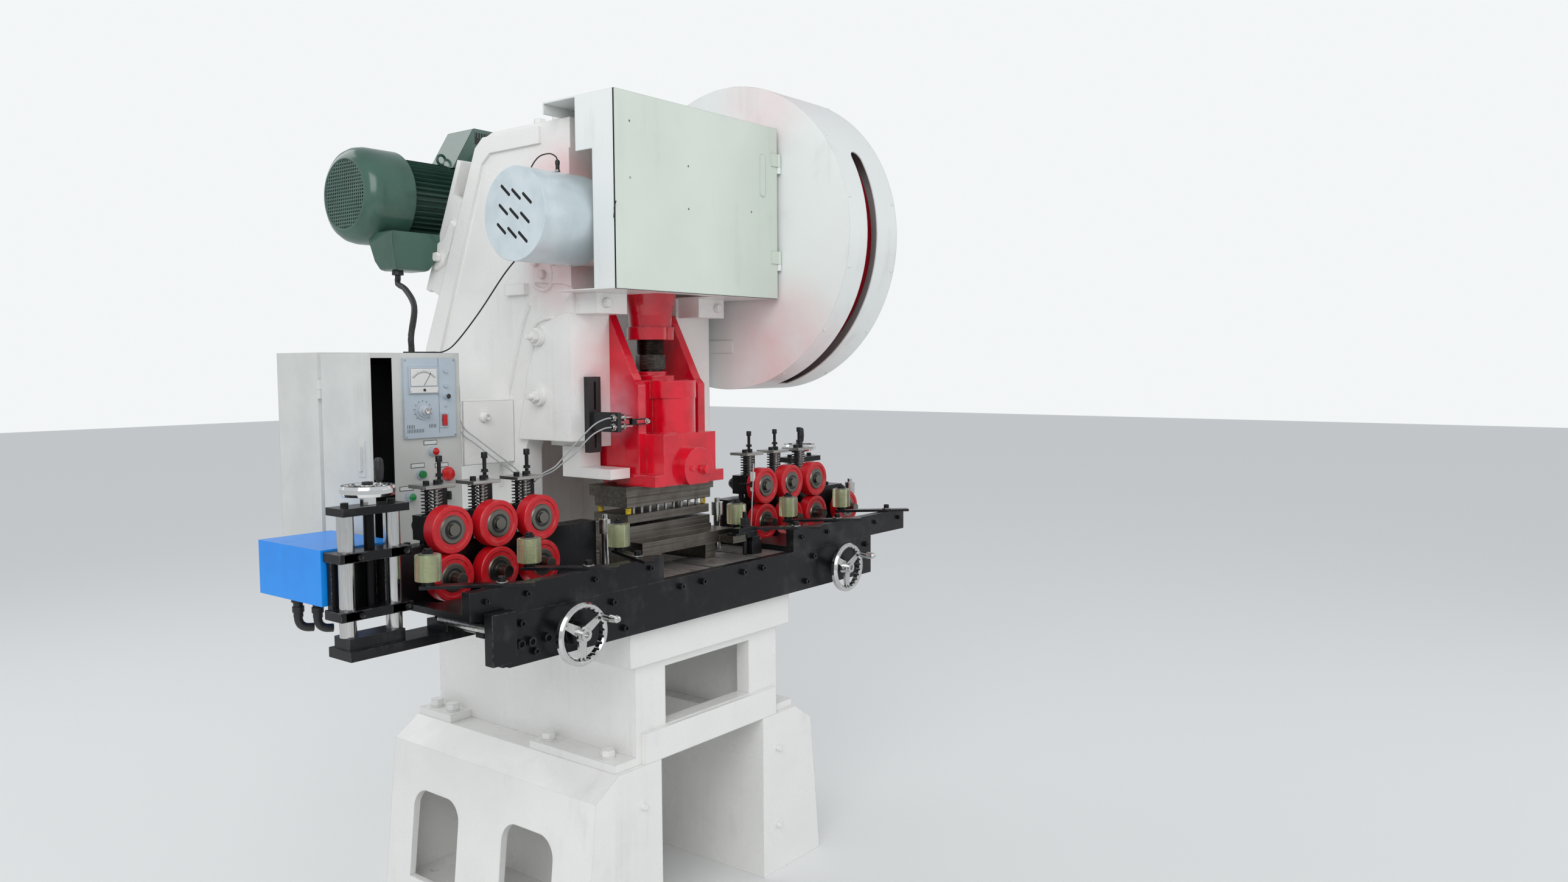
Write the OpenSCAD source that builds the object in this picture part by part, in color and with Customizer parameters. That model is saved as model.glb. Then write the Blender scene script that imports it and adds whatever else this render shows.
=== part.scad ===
/* [Frame] */
// Width over the two cheeks of the C-frame
frame_w = 564; // [520:2:620]
// Thickness of one cheek
cheek_t = 60; // [40:2:80]
// Clear width between the ram guides
throat_w = 286; // [270:2:300]
// Depth of the throat behind the ram axis
throat_back = 245; // [225:5:265]
// Height of the ram's underside over the table, at the top of its stroke
shut_h = 241; // [236:1:246]
// Length of the connecting rod from its clamp ring to the crankshaft axis
rod_len = 329; // [320:1:338]
// Height of the top of the frame over the crankshaft axis
head_rise = 294; // [284:2:304]
// Front face of the head, measured back from the ram axis
head_front = 26; // [22:1:30]
// Width of the bed casting
bed_w = 624; // [600:4:660]
// Width of the band round the top of the bed
band_w = 700; // [680:4:740]
// Wall of the bed casting
bed_wall = 38; // [28:1:50]
// Height of the underside of the bed
bed_z = 513; // [500:1:520]
// Height of the top of the bed casting
bed_top = 985; // [975:1:990]
// Thickness of the bolster plate
bolster_t = 40; // [36:1:48]
// Height of the stand legs at their outer edge
leg_edge_h = 458; // [430:2:480]
// Wall of the stand legs
leg_wall = 22; // [16:1:30]
// Diameter of the four anchor holes
anchor_d = 26; // [20:1:32]
// Distance between the anchor holes across the machine
anchor_span_x = 800; // [760:10:840]
// Distance between the anchor holes front to back
anchor_span_y = 760; // [700:10:800]

/* [Drive] */
// Crank throw, half of the ram stroke
crank_r = 12; // [8:1:14]
// Diameter of the crankshaft's main journals
journal_d = 100; // [90:2:110]
// Diameter of the crank pin
pin_d = 112; // [104:2:120]
// Width of the connecting rod's big end
big_end_w = 120; // [100:2:130]
// Radius of the flywheel at the belts
flywheel_r = 440; // [420:5:450]
// Width of the flywheel rim
flywheel_w = 150; // [120:5:170]
// Radius of the flywheel guard
guard_r = 486; // [480:1:500]
// Depth of the flywheel guard
guard_w = 262; // [250:2:270]
// Sheet thickness of the guards and covers
sheet_t = 4; // [3:0.5:6]
// Radius of the motor pulley
pulley_r = 80; // [70:2:90]
// Radius of the motor's fan cover
fan_cover_r = 150; // [140:2:158]
// Radius of the ribbed motor body
motor_r = 132; // [124:2:138]
// Radius of the slip clutch housing
clutch_r = 200; // [190:2:205]
// Radius of the brake guard
brake_r = 126; // [120:1:130]
// Width of the crank cover
cover_w = 692; // [680:2:710]
// Height of the crank cover
cover_h = 525; // [510:5:540]
// Depth of the cover in front of the ram axis
cover_front = 220; // [210:2:230]

/* [Ram and die] */
// Width of the ram's lower block
ram_block_w = 224; // [200:4:240]
// Clearance of sliding and turning pieces
run_gap = 0.3; // [0.2:0.1:0.5]
// Length of the die set along the feed
die_len = 376; // [340:4:390]
// Depth of the die set
die_depth = 157; // [140:2:170]
// Number of punches
punch_count = 9; // [7:1:11]
// Diameter of a punch
punch_d = 10; // [6:1:14]

/* [Feed line] */
// Height at which the strip runs
feed_z = 1153; // [1150:1:1156]
// Diameter of the red feed rollers
roller_d = 120; // [110:2:124]
// Width of a feed roller
roller_w = 40; // [34:1:44]
// Distance between neighbouring feed rollers
roller_pitch = 141; // [136:1:150]
// Length of the front beam plate
beam_len = 1552; // [1500:4:1600]
// Thickness of the front beam plate
beam_t = 30; // [24:1:32]
// Height of the front beam plate
beam_h = 128; // [120:2:140]
// Diameter of the front handwheels
wheel_d = 160; // [140:5:180]
// Diameter of the lift handwheels
lift_wheel_d = 124; // [110:2:140]
// Diameter of the lift posts
post_d = 38; // [34:1:42]
// Distance between the two posts of a lift
post_span = 118; // [112:1:126]

/* [Cabinet] */
// Width of the control cabinet
cabinet_w = 433; // [400:5:460]
// Height of the control cabinet
cabinet_h = 600; // [560:10:620]
// Depth of the control cabinet
cabinet_d = 200; // [160:10:220]

/* [Hidden] */
$fn = 64;
ram_y = -210;
cheek_x = frame_w / 2;
throat_x = throat_w / 2;
bed_x = bed_w / 2;
band_x = band_w / 2;
bed_front = -232;
bed_back = 660;
band_z = 796;
table_z = bed_top + bolster_t;
ram_z = table_z + shut_h;
ring_z = ram_z + 427;
ring_h = 37;
crank_z = ring_z + rod_len;
frame_top = crank_z + head_rise;
throat_top = bed_top + 430;
frame_back = 723;
roof_back = 446;
slope_z = frame_top - 643;
shoulder_z = frame_top - 40;
stroke = 2 * crank_r;
pin_z = crank_z + crank_r;
beam_front = -284;
beam_back = beam_front + beam_t;
beam_top = table_z + 2;
roller_r = roller_d / 2;
roller_y0 = -76;
roller_y1 = roller_y0 + roller_w;
first_roller_x = -775;
first_right_x = 464;
bearing_bar_y0 = -14;
bearing_bar_y1 = 46;
left_lift_x = -1018;
left_lift_y = -95;
right_lift_x = 892;
right_lift_y = 112;
lift_bar_z = 1262;
lift_bar_t = 18;
carriage_z0 = 1046;
carriage_z1 = 1200;
cover_lip = 32;
cover_z0 = frame_top + cover_lip - cover_h;
cover_x = cover_w / 2;
// Motor axis: distance out from the slope over its plate, and down the slope from the shoulder
plate_t = 20;
stand_off = 60;
motor_out = stand_off + plate_t + clutch_r;
motor_down = 267.3;
slope_a = atan2(frame_back - roof_back, shoulder_z - slope_z);
motor_y = roof_back + motor_out * cos(slope_a) + motor_down * sin(slope_a);
motor_z = shoulder_z + motor_out * sin(slope_a) - motor_down * cos(slope_a);
fan_x = -508;
flywheel_x0 = 395;
guard_x0 = 360;
cab_x0 = -906;
cab_x1 = cab_x0 + cabinet_w;
cab_y0 = 300;
cab_z1 = 1655;
guide_z = [ram_z + 262, ram_z + 436];
cab_z0 = cab_z1 - cabinet_h;
cab_post_x = -690;

// Puts what follows on the ram's axis, which lies in front of the anchor pattern's centre
module on_press() { translate([0, ram_y, 0]) children(); }
// As on_press, with heights measured from the ram's underside
module on_ram() { translate([0, ram_y, ram_z]) children(); }
// Box from its lowest to its highest corner
module block(a, b) { translate(a) cube(b - a); }
// Cylinder along X between two planes
module rod_x(x0, x1, r, y, z) { translate([x0, y, z]) rotate([0, 90, 0]) cylinder(r = r, h = x1 - x0); }
// Cylinder along Y between two planes
module rod_y(y0, y1, r, x, z) { translate([x, y0, z]) rotate([-90, 0, 0]) cylinder(r = r, h = y1 - y0); }
// Upright cylinder between two heights
module rod_z(z0, z1, r, x, y) { translate([x, y, z0]) cylinder(r = r, h = z1 - z0); }
// Plate along X from an outline drawn in Y and Z
module plate_x(x0, x1) {
  translate([x0, 0, 0]) rotate([90, 0, 90]) linear_extrude(x1 - x0) children();
}
// Plate along Y from an outline drawn in X and Z
module plate_y(y0, y1) {
  translate([0, y1, 0]) rotate([90, 0, 0]) linear_extrude(y1 - y0) children();
}
// Hexagon head with a washer, axis along +Z from the origin
module hex_head(af, h) {
  cylinder(r = af * 0.62, h = h * 0.2);
  translate([0, 0, h * 0.2]) cylinder(r = af / 2 / cos(30), h = h * 0.8, $fn = 6);
}
// Socket head, axis along +Z from the origin
module socket_head(d, h) {
  difference() {
    cylinder(r = d / 2, h = h, $fn = 32);
    translate([0, 0, h * 0.45]) cylinder(r = d * 0.29, h = h, $fn = 6);
  }
}
// The same shape on both sides of the machine
module both_sides() {
  children();
  mirror([1, 0, 0]) children();
}

module cheek_outline() {
  difference() {
    polygon([[throat_back - 120, bed_top], [frame_back, bed_top], [frame_back, slope_z],
      [roof_back, shoulder_z], [roof_back - 38, frame_top - 12], [roof_back - 80, frame_top],
      [head_front, frame_top], [head_front, throat_top], [throat_back - 120, throat_top]]);
    throat_cut();
  }
}
// The C-shaped throat, rounded at its upper back corner
module throat_cut() {
  corner = 55;
  translate([-300, bed_top]) square([300 + throat_back - corner, throat_top - bed_top]);
  translate([-300, bed_top]) square([300 + throat_back, throat_top - bed_top - corner]);
  translate([throat_back - corner, throat_top - corner]) circle(r = corner);
}
// Raised guide housing at the front of a cheek, narrower towards the top
module pad_outline() {
  z = throat_top - 15;
  top = cover_z0 - 57;
  polygon([[head_front, z], [head_front, top], [60, top], [150, top - 31], [215, (z + top) / 2 + 17],
    [262, z]]);
}
// Raised border along the cheek's back and roof
module cheek_border() {
  polygon([[frame_back, 1000], [frame_back, slope_z], [roof_back, shoulder_z], [roof_back - 38, frame_top - 12],
    [150, frame_top - 12], [150, frame_top - 60], [roof_back - 70, frame_top - 62],
    [roof_back - 30, shoulder_z - 50], [frame_back - 70, slope_z - 20], [frame_back - 70, 1000]]);
}
// Machined pad round the crank bearing
module bearing_pad() {
  translate([0, crank_z])
    polygon([[26, -182], [60, -172], [190, -162], [190, 138], [150, 198], [26, 208]]);
}
module press_frame() color("#e9e8e3") on_press() {
  difference() {
    union() {
      both_sides() {
        plate_x(cheek_x - cheek_t, cheek_x) cheek_outline();
        plate_x(cheek_x - cheek_t, cheek_x + 14) pad_outline();
        block([throat_x, head_front, throat_top - 35], [cheek_x - cheek_t + 1, 200, frame_top - 40]);
        block([throat_x + 12, -64, ram_z + 24], [cheek_x - cheek_t + 10, 140, ram_z + 54]);
        block([throat_x + 12, 60, ram_z + 53], [cheek_x - cheek_t + 10, 140, throat_top - 34]);
        block([throat_x + 10, -60, cover_z0 - 59], [cheek_x - 10, head_front + 1, cover_z0]);
        for (z = guide_z) rod_x(cheek_x, cheek_x + 30, 26, 157, z);
        plate_x(cheek_x - 1, cheek_x + 8) cheek_border();
        plate_x(cheek_x - 1, cheek_x + 5) bearing_pad();
        block([cheek_x - 1, 219, crank_z - 196], [cheek_x + 16, 309, crank_z - 164]);
      }
      both_sides() rod_x(cheek_x - cheek_t - 4, cheek_x + 8, 122, 0, crank_z);
      both_sides() block([cheek_x - cheek_t, -80, crank_z - 95], [cheek_x, head_front + 1, crank_z + 95]);
      block([-cheek_x + 1, 560, bed_top], [cheek_x - 1, frame_back - 1, slope_z - 33]);
      block([-cheek_x + 1, 300, frame_top - 60], [cheek_x - 1, 380, frame_top - 1]);
      block([-cheek_x + 1, 380, crank_z - 142], [cheek_x - 1, 430, frame_top - 86]);
      // Box that carries the control cabinet
      difference() {
        block([cab_x1, 300, 1330], [-cheek_x + 1, 470, 1516]);
        block([cab_x1 + 8, 299, 1340], [-cheek_x - 8, 462, 1506]);
      }
    }
    both_sides() rod_x(throat_x - 1, cheek_x + 30, journal_d / 2 + run_gap, 0, crank_z);
  }
}
module press_bed() color("#e7e6e1") on_press() difference() {
  union() {
    block([-bed_x, bed_front, bed_z], [bed_x, bed_back, bed_top]);
    block([-band_x, beam_back, band_z], [band_x, bed_back + 8, bed_top]);
    both_sides() {
      block([bed_x - 1, bed_front, bed_z], [bed_x + 78, 126, bed_z + 24]);
      block([bed_x - 1, 500, bed_z], [bed_x + 78, bed_back, bed_z + 24]);
    }
    block([-bed_x + 22, bed_front - 14, bed_z], [bed_x - 18, bed_front + 1, bed_z + 88]);
  }
  block([-bed_x + bed_wall, bed_front + bed_wall + 10, bed_z - 1],
    [bed_x - bed_wall, bed_back - bed_wall, bed_top - 60]);
  block([-193, bed_front - 20, 604], [175, bed_front + bed_wall + 20, 770]);
  block([-150, bed_back - bed_wall - 20, 604], [150, bed_back + 20, 770]);
  block([-110, -90, bed_top - 70], [110, 90, bed_top + 1]);
}
module leg_outline() {
  polygon([[bed_x - 86, 0], [522, 0], [475, leg_edge_h], [bed_x + 80, bed_z], [bed_x - 86, bed_z]]);
}
module stand() color("#e4e3de") on_press() {
  y0 = bed_front - 14;
  y1 = bed_back + 10;
  difference() {
    union() {
      both_sides() plate_y(y0, y1) leg_outline();
      block([-bed_x + 60, y1 - leg_wall - 8, 70], [bed_x - 60, y1 - 4, bed_z]);
    }
    both_sides() {
      plate_y(y0 + leg_wall, y1 - leg_wall)
        polygon([[bed_x - 86 + leg_wall, 24], [522 - leg_wall, 24], [475 - leg_wall, leg_edge_h - leg_wall],
          [bed_x + 60, bed_z - leg_wall], [bed_x - 86 + leg_wall, bed_z - leg_wall]]);
      plate_x(400, 600) arch(-90, 130, 60, 330);
      plate_x(400, 600) arch(330, 550, 60, 330);
      for (s = [-1, 1]) translate([anchor_span_x / 2, -ram_y + s * anchor_span_y / 2, -1])
        cylinder(r = anchor_d / 2, h = 40);
    }
  }
  both_sides() for (z = [150, 400]) rod_y(y0 - 12, y0 + 1, 9, 300, z);
}
// Opening with a round-cornered top, drawn in Y and Z
module arch(y0, y1, z0, z1) {
  r = 60;
  translate([y0, z0]) square([y1 - y0, z1 - z0 - r]);
  translate([y0 + r, z0]) square([y1 - y0 - 2 * r, z1 - z0]);
  for (y = [y0 + r, y1 - r]) translate([y, z1 - r]) circle(r = r);
}
module bolster_plate() color("#8c8a86") on_press() difference() {
  block([-band_x, beam_back, bed_top], [band_x, 236, table_z]);
  for (x = [-220, 0, 220]) {
    block([x - 9, beam_back - 1, table_z - 14], [x + 9, 237, table_z + 1]);
    block([x - 16, beam_back - 1, table_z - 26], [x + 16, 237, table_z - 13]);
  }
  block([-80, -70, bed_top - 1], [80, 70, table_z + 1]);
}

module crank_cover() color("#e3e6df") on_press() {
  x1 = cover_x;
  y0 = -cover_front + sheet_t;
  z1 = cover_z0 + cover_h;
  both_sides() plate_x(x1 - sheet_t, x1)
    polygon([[y0, cover_z0], [-133, cover_z0], [-133, z1 - 148], [-67, z1 - 148], [-67, z1], [y0, z1]]);
  block([-x1, y0, z1 - sheet_t], [x1, 64, z1]);
  block([-x1, 60, frame_top], [x1, 64, z1]);
  difference() {
    block([-x1, y0, cover_z0], [x1, head_front, cover_z0 + sheet_t]);
    block([-122, -150, cover_z0 - 1], [122, head_front + 1, cover_z0 + sheet_t + 1]);
  }
  block([x1 - 24, y0, cover_z0 + sheet_t], [x1 - sheet_t, y0 + 3, z1 - sheet_t]);
  for (z = hinge_z) rod_z(z - 30, z - 10.2, 6, x1 + 6, -cover_front - 3);
  for (z = hinge_z) block([x1, -cover_front - 3, z - 30], [x1 + 2, y0 + 20, z - 10.2]);
}
hinge_z = [cover_z0 + 117, cover_z0 + cover_h - 108];
module crank_cover_door() color("#cfd8cf") on_press() {
  x1 = cover_x;
  z1 = cover_z0 + cover_h;
  y1 = -cover_front + sheet_t - 0.3;
  difference() {
    union() {
      block([-x1, -cover_front - 0.3, cover_z0], [x1, y1 - 1, z1]);
      for (z = hinge_z) {
        rod_z(z - 10, z + 30, 6, x1 + 6, -cover_front - 3);
        block([x1 - 30, -cover_front - 4, z - 10], [x1 + 6, -cover_front, z + 30]);
      }
      for (z = hinge_z) rod_z(z - 10, z + 30, 6, x1 + 6, -cover_front - 3);
      for (s = [-1, 1]) rod_y(-cover_front - 4, -cover_front, 12, x1 - 74, z1 - 152 + s * 52);
      block([x1 - 86, -cover_front - 4, z1 - 204], [x1 - 62, -cover_front, z1 - 100]);
    }
    for (p = [[-290, 78], [-290, 228], [-60, 168], [-60, 288], [220, 268]])
      rod_y(-cover_front - 1, y1 + 1, 3, p[0], z1 - p[1]);
  }
}
module brake_guard() color("#e4e9ea") on_press() {
  x0 = -505;
  x1 = -cheek_x - 5;
  difference() {
    rod_x(x0, x1, brake_r, 0, crank_z);
    rod_x(x0 + 3, x1 + 1, brake_r - 2.5, 0, crank_z);
    for (i = [-1:1], j = [-1:1])
      translate([x0 - 1, i * 44 - j * 10, crank_z + j * 50 + i * 14]) rotate([40, 0, 0])
        block([0, -24, -4.5], [6, 24, 4.5]);
    block([-440, -12, crank_z + brake_r - 12], [-420, 12, crank_z + brake_r + 1]);
  }
  block([-462, -24, crank_z + brake_r - 2], [-402, 24, crank_z + brake_r + 26]);
}
// Outline of the belt run: the flywheel circle, the pulley circle and the tangents between them
module belt_outline(big, small) {
  d = sqrt(pow(motor_y, 2) + pow(motor_z - crank_z, 2));
  tilt = atan2(motor_z - crank_z, motor_y);
  side = acos((big - small) / d);
  function at(c, r, a) = [c[0] + r * cos(a), c[1] + r * sin(a)];
  fly = [0, crank_z];
  pul = [motor_y, motor_z];
  translate(fly) circle(r = big, $fn = 128);
  translate(pul) circle(r = small);
  polygon([at(fly, big, tilt + side), at(pul, small, tilt + side),
    at(pul, small, tilt - side), at(fly, big, tilt - side)]);
}
module flywheel_guard() color("#dde0db") on_press() {
  x1 = guard_x0 + guard_w;
  t = sheet_t;
  difference() {
    union() {
      rod_x(guard_x0, x1, guard_r, 0, crank_z, $fn = 128);
      plate_x(400, 562) belt_outline(guard_r, 150);
      plate_x(guard_x0 - 4, guard_x0) translate([-21, crank_z - 367]) square([222, 42]);
      block([cheek_x, 191, crank_z - 367], [guard_x0, 201, crank_z - 325]);
      block([cheek_x, 110, crank_z + 208], [guard_x0, 120, crank_z + 274]);
    }
    rod_x(guard_x0 + t, x1 - t, guard_r - t, 0, crank_z, $fn = 128);
    plate_x(400 + t, 562 - t) belt_outline(guard_r - t, 150 - t);
    rod_x(guard_x0 - 1, guard_x0 + t + 1, 150, 0, crank_z);
    rod_x(395, 410, 70, motor_y, motor_z);
    // Curved slot in the rim that shows the flywheel
    translate([455, 0, crank_z]) rotate([0, 90, 0]) rotate([0, 0, -118]) {
      rotate_extrude(angle = 103, $fn = 128) translate([guard_r - 2 * t, 0]) square([3 * t, 55]);
      for (a = [0, 103]) rotate([0, 0, a]) translate([guard_r - 2 * t, 0, 27.5]) rotate([0, 90, 0])
        cylinder(r = 27.5, h = 3 * t);
    }
  }
}
belt_at = 12;
belt_pitch = 18;
belt_seat = 12.7;
module flywheel() color("#7c1518") on_press() {
  x0 = flywheel_x0;
  groove = 13;
  difference() {
    translate([x0, 0, crank_z]) rotate([0, 90, 0]) rotate_extrude($fn = 96) polygon(concat(
      [[journal_d / 2 + run_gap, 0], [95, 0], [110, 45], [370, 45], [382, 0], [flywheel_r, 0]],
      [for (i = [0:2], k = [0:3])
        [flywheel_r - ((k == 1 || k == 2) ? groove : 0), belt_at + i * belt_pitch + [0, 4, 12, 16][k]]],
      [[flywheel_r, flywheel_w], [382, flywheel_w], [370, flywheel_w - 50], [110, flywheel_w - 50],
        [95, flywheel_w], [journal_d / 2 + run_gap, flywheel_w]]));
    for (a = [0:60:300]) rotate_about_crank(a) rod_x(x0, x0 + flywheel_w, 62, 240, crank_z);
  }
}
module rotate_about_crank(a) {
  translate([0, 0, crank_z]) rotate([a, 0, 0]) translate([0, 0, -crank_z]) children();
}
module drive_belts() color("#26262a") on_press() {
  for (i = [0:2]) {
    x = flywheel_x0 + belt_at + i * belt_pitch + 4;
    difference() {
      plate_x(x + 0.3, x + 7.7) belt_outline(flywheel_r + 1, pulley_r + 1);
      plate_x(x - 1, x + 9) belt_outline(flywheel_r - belt_seat, pulley_r - belt_seat);
    }
  }
}
module motor_rotor() color("#55585a") on_press() {
  x0 = flywheel_x0 + belt_at - 1;
  translate([x0, motor_y, motor_z]) rotate([0, 90, 0]) rotate_extrude() polygon(concat(
    [[0, 0], [pulley_r, 0]],
    [for (i = [0:2], k = [0:3]) [pulley_r - ((k == 1 || k == 2) ? 13 : 0), 1 + i * belt_pitch + [0, 4, 12, 16][k]]],
    [[pulley_r, 64], [0, 64]]));
  rod_x(235, x0 + 1, 24, motor_y, motor_z);
  rod_x(-60, 236, 20, motor_y, motor_z);
}
module drive_motor() color("#3f5f52") on_press() {
  difference() {
    union() {
      translate([fan_x, motor_y, motor_z]) rotate([0, 90, 0]) rotate_extrude($fn = 96)
        polygon([[0, 0], [fan_cover_r - 38, 0], [fan_cover_r - 14, 10], [fan_cover_r, 34],
          [fan_cover_r, 160], [fan_cover_r - 4, 160], [0, 160]]);
      rod_x(fan_x + 159, -110, motor_r - 16, motor_y, motor_z);
      for (i = [0:35]) translate([0, motor_y, motor_z]) rotate([i * 10, 0, 0])
        block([fan_x + 160, -1.6, motor_r - 20], [-130, 1.6, motor_r]);
      rod_x(-132, -112, motor_r + 8, motor_y, motor_z);
      translate([-112, motor_y, motor_z]) rotate([0, 90, 0]) rotate_extrude($fn = 96)
        polygon([[0, 0], [motor_r, 0], [clutch_r - 6, 40], [clutch_r, 50], [clutch_r, 318],
          [clutch_r - 14, 332], [0, 332]]);
      plate_y(motor_y - 70, motor_y + 70) polygon([[-130, motor_z + 120], [-96, motor_z + 260],
        [70, motor_z + 260], [96, motor_z + 240],
        [96, motor_z + 120]]);
      block([-455, motor_y - 170, motor_z - 235], [-310, motor_y - 40, motor_z - 155]);
      block([-430, motor_y - 120, motor_z - 160], [-330, motor_y - 40, motor_z - 90]);
      on_slope() block([-90, motor_out - clutch_r, -motor_down - 150],
        [190, motor_out - clutch_r + 32, -motor_down + 150]);
    }
    rod_x(-61, 221, 20 + run_gap, motor_y, motor_z);
    for (r = [[0, 1], [26, 6], [50, 12], [74, 18], [96, 24]]) for (i = [0:r[1] - 1])
      translate([fan_x - 1, motor_y, motor_z]) rotate([i * 360 / r[1], 0, 0])
        rod_x(0, 8, 6.5, 0, r[0], $fn = 16);
  }
  translate([-150, motor_y, motor_z + motor_r + 18]) rotate([90, 0, 0])
    rotate_extrude() translate([16, 0]) circle(r = 5, $fn = 16);
}
// Frame's sloping back: local Y points out of it, local Z up along it
module on_slope() { translate([0, roof_back, shoulder_z]) rotate([slope_a, 0, 0]) children(); }
module motor_plate() color("#dededa") on_press() on_slope() {
  both_sides() block([cheek_x - 20, 0, -motor_down - 215], [cheek_x, stand_off, -motor_down + 102]);
  difference() {
    block([-cheek_x, stand_off, -motor_down - 223], [cheek_x, stand_off + plate_t, -motor_down + 207]);
    for (x = [-60, 160], z = [-133, 133])
      translate([x, stand_off - 10, z - motor_down]) rotate([-90, 0, 0]) cylinder(r = 9, h = plate_t + 20);
  }
  translate([0, 0, 267 - motor_down]) plate_local(-cheek_x - 10, -cheek_x);
}
// Slotted quadrant and its bolt on the side of the motor bracket
module plate_local(x0, x1) {
  translate([x0, 0, 0]) rotate([90, 0, 90]) linear_extrude(x1 - x0)
    polygon([[10, -250], [34, -240], [40, -300], [74, -340], [78, -392], [46, -412], [12, -380], [2, -330]]);
  translate([x0 + 0.5, 44, -366]) rotate([0, -90, 0]) hex_head(26, 16);
}
module crankshaft() color("#8f9296") on_press() {
  half = big_end_w / 2 + 1;
  both_sides() {
    rod_x(half + 37, cheek_x + 30, journal_d / 2, 0, crank_z);
    rod_x(half, half + 38, 112, 0, crank_z);
  }
  rod_x(-half, half, pin_d / 2, 0, pin_z);
  rod_x(cheek_x + 29, flywheel_x0 + flywheel_w + 30, journal_d / 2, 0, crank_z);
  rod_x(flywheel_x0 + flywheel_w + 6, flywheel_x0 + flywheel_w + 26, 80, 0, crank_z);
  rod_x(-490, -cheek_x - 29, 36, 0, crank_z);
  rod_x(-470, -400, 98, 0, crank_z);
}
rod_palm_z = crank_z - 118;
slip = 0.2106 * crank_r + 0.5;
module big_end() color("#a3272b") on_press() difference() {
  union() {
    rod_x(-big_end_w / 2, big_end_w / 2, 104, 0, pin_z);
    block([-big_end_w / 2, -92, rod_palm_z + slip], [big_end_w / 2, 92, pin_z]);
  }
  rod_x(-big_end_w, big_end_w, pin_d / 2 + run_gap, 0, pin_z);
}
screw_r = 42;
neck = rod_palm_z - 30 - ring_z - ring_h;
module connecting_rod() color("#c8121e") on_press() {
  difference() {
    union() {
      block([-big_end_w / 2, -86, rod_palm_z - 30], [big_end_w / 2, 86, rod_palm_z]);
      translate([0, 0, ring_z + ring_h]) rotate_extrude()
        polygon([[0, 0], [64, 0], [66, 0.25 * neck], [80, 0.7 * neck], [86, neck], [0, neck]]);
      rod_z(ring_z, ring_z + ring_h + 1, 71, 0, 0);
    }
    rod_z(ring_z - 1, ram_z + 544, screw_r, 0, 0);
    block([-2, -80, ring_z - 1], [2, -30, ring_z + ring_h]);
  }
}
module ball_screw() color("#77706a") on_ram() {
  translate([0, 0, 334]) rotate_extrude() polygon(concat([[0, 0], [36, 0], [36, 50]],
    [for (i = [0:6]) each [[screw_r, 52 + i * 6], [screw_r - 3, 55 + i * 6]]],
    [[screw_r, 93], [screw_r, 200], [0, 200]]));
  rod_z(338, 382, 46, 0, 0, $fn = 6);
  rod_z(309, 335, 34, 0, 0);
  translate([0, 0, 282]) sphere(r = 44);
}
module ram() color("#cf101c") on_ram() {
  wing_x = throat_x - run_gap;
  difference() {
    union() {
      rod_z(144, 258, 64, 0, -95);
      rod_z(254, 306, 70, 0, -90);
      rod_z(305, 320, 56, 0, -24);
      block([-wing_x + 1, -60, 150], [wing_x - 1, 31, 306]);
      rod_z(305, 332, 50, 0, 0);
      block([-ram_block_w / 2, -160, 0], [ram_block_w / 2, 96, 151]);
      block([-148, -160, 0], [148, 0, 34]);
      both_sides() plate_x(wing_x - 30, wing_x)
        polygon([[100, 34], [100, 504], [head_front + 4, 504], [-74, 309], [-90, 294], [-90, 34]]);
      block([-wing_x, 30, 154], [wing_x, 100, 294]);
      block([-176, -98, 181], [-104, -86, 197]);
    }
    translate([0, 0, 282]) sphere(r = 44);
    rod_z(274, 334, 36, 0, 0);
    rod_z(-1, 68, 20, 0, -12);
  }
}
module shank_clamp() color("#c30f1b") on_ram() {
  intersection() {
    rod_y(-186, -160, 62, 10, 47);
    block([-60, -187, 0.4], [80, -159, 120]);
  }
  translate([30, -186, 42]) rotate([90, 0, 0]) hex_head(25, 16);
  rod_y(-192, -186, 9, -18, 48);
}
module frame_bolts() color("#dcdcd8") on_press() {
  both_sides() {
    for (z = guide_z) translate([cheek_x + 30, 157, z]) rotate([0, 90, 0]) {
      hex_head(30, 16);
      cylinder(r = 9, h = 34);
    }
    for (p = [[147, -141], [177, -104], [99, -105]])
      translate([cheek_x + 5, p[0], crank_z + p[1]]) rotate([0, 90, 0]) hex_head(22, 12);
    for (y = [-165, 85, 540, 620]) translate([bed_x + 42, y, bed_z + 24]) hex_head(36, 24);
    for (y = [110, 190]) translate([252, y, frame_top]) hex_head(30, 18);
    translate([236, -60, cover_z0 - 29]) rotate([90, 0, 0]) hex_head(24, 14);
  }
}
module upper_die() color("#5b534c") on_ram() {
  hx = die_len / 2;
  block([-hx, -82, -32], [hx, -82 + die_depth, 0]);
  block([-hx + 8, -76, -62], [hx - 8, 60, -31]);
  rod_z(-1, 66, 20, 0, -12);
}
punch_y = -56;
punch_step = 34;
module punches() color("#a7a7a4") on_ram() for (i = [0:punch_count - 1]) {
  x = (i - (punch_count - 1) / 2) * punch_step;
  rod_z(-106, -62, punch_d / 2, x, punch_y);
  rod_z(-65.5, -62, punch_d / 2 + 3, x, punch_y);
}
module punch_holes(z0, z1) for (i = [0:punch_count - 1])
  rod_z(z0, z1, punch_d / 2 + 0.4, (i - (punch_count - 1) / 2) * punch_step, punch_y);
module stripper_plate() color("#4c4a45") on_ram() difference() {
  block([-182, -80, -107], [168, 62, -82]);
  punch_holes(-108, -81);
}
module stripper_springs() color("#e4c613") on_ram()
  for (x = [-168, 154], y = [-68, 48]) translate([x, y, -81.9]) rotate_extrude() polygon(concat(
    [[4, 0]], [for (i = [0:5]) each [[9, i * 3.3 + 0.2], [7.6, i * 3.3 + 1.8]]], [[9, 19.8], [4, 19.8]]));
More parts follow.
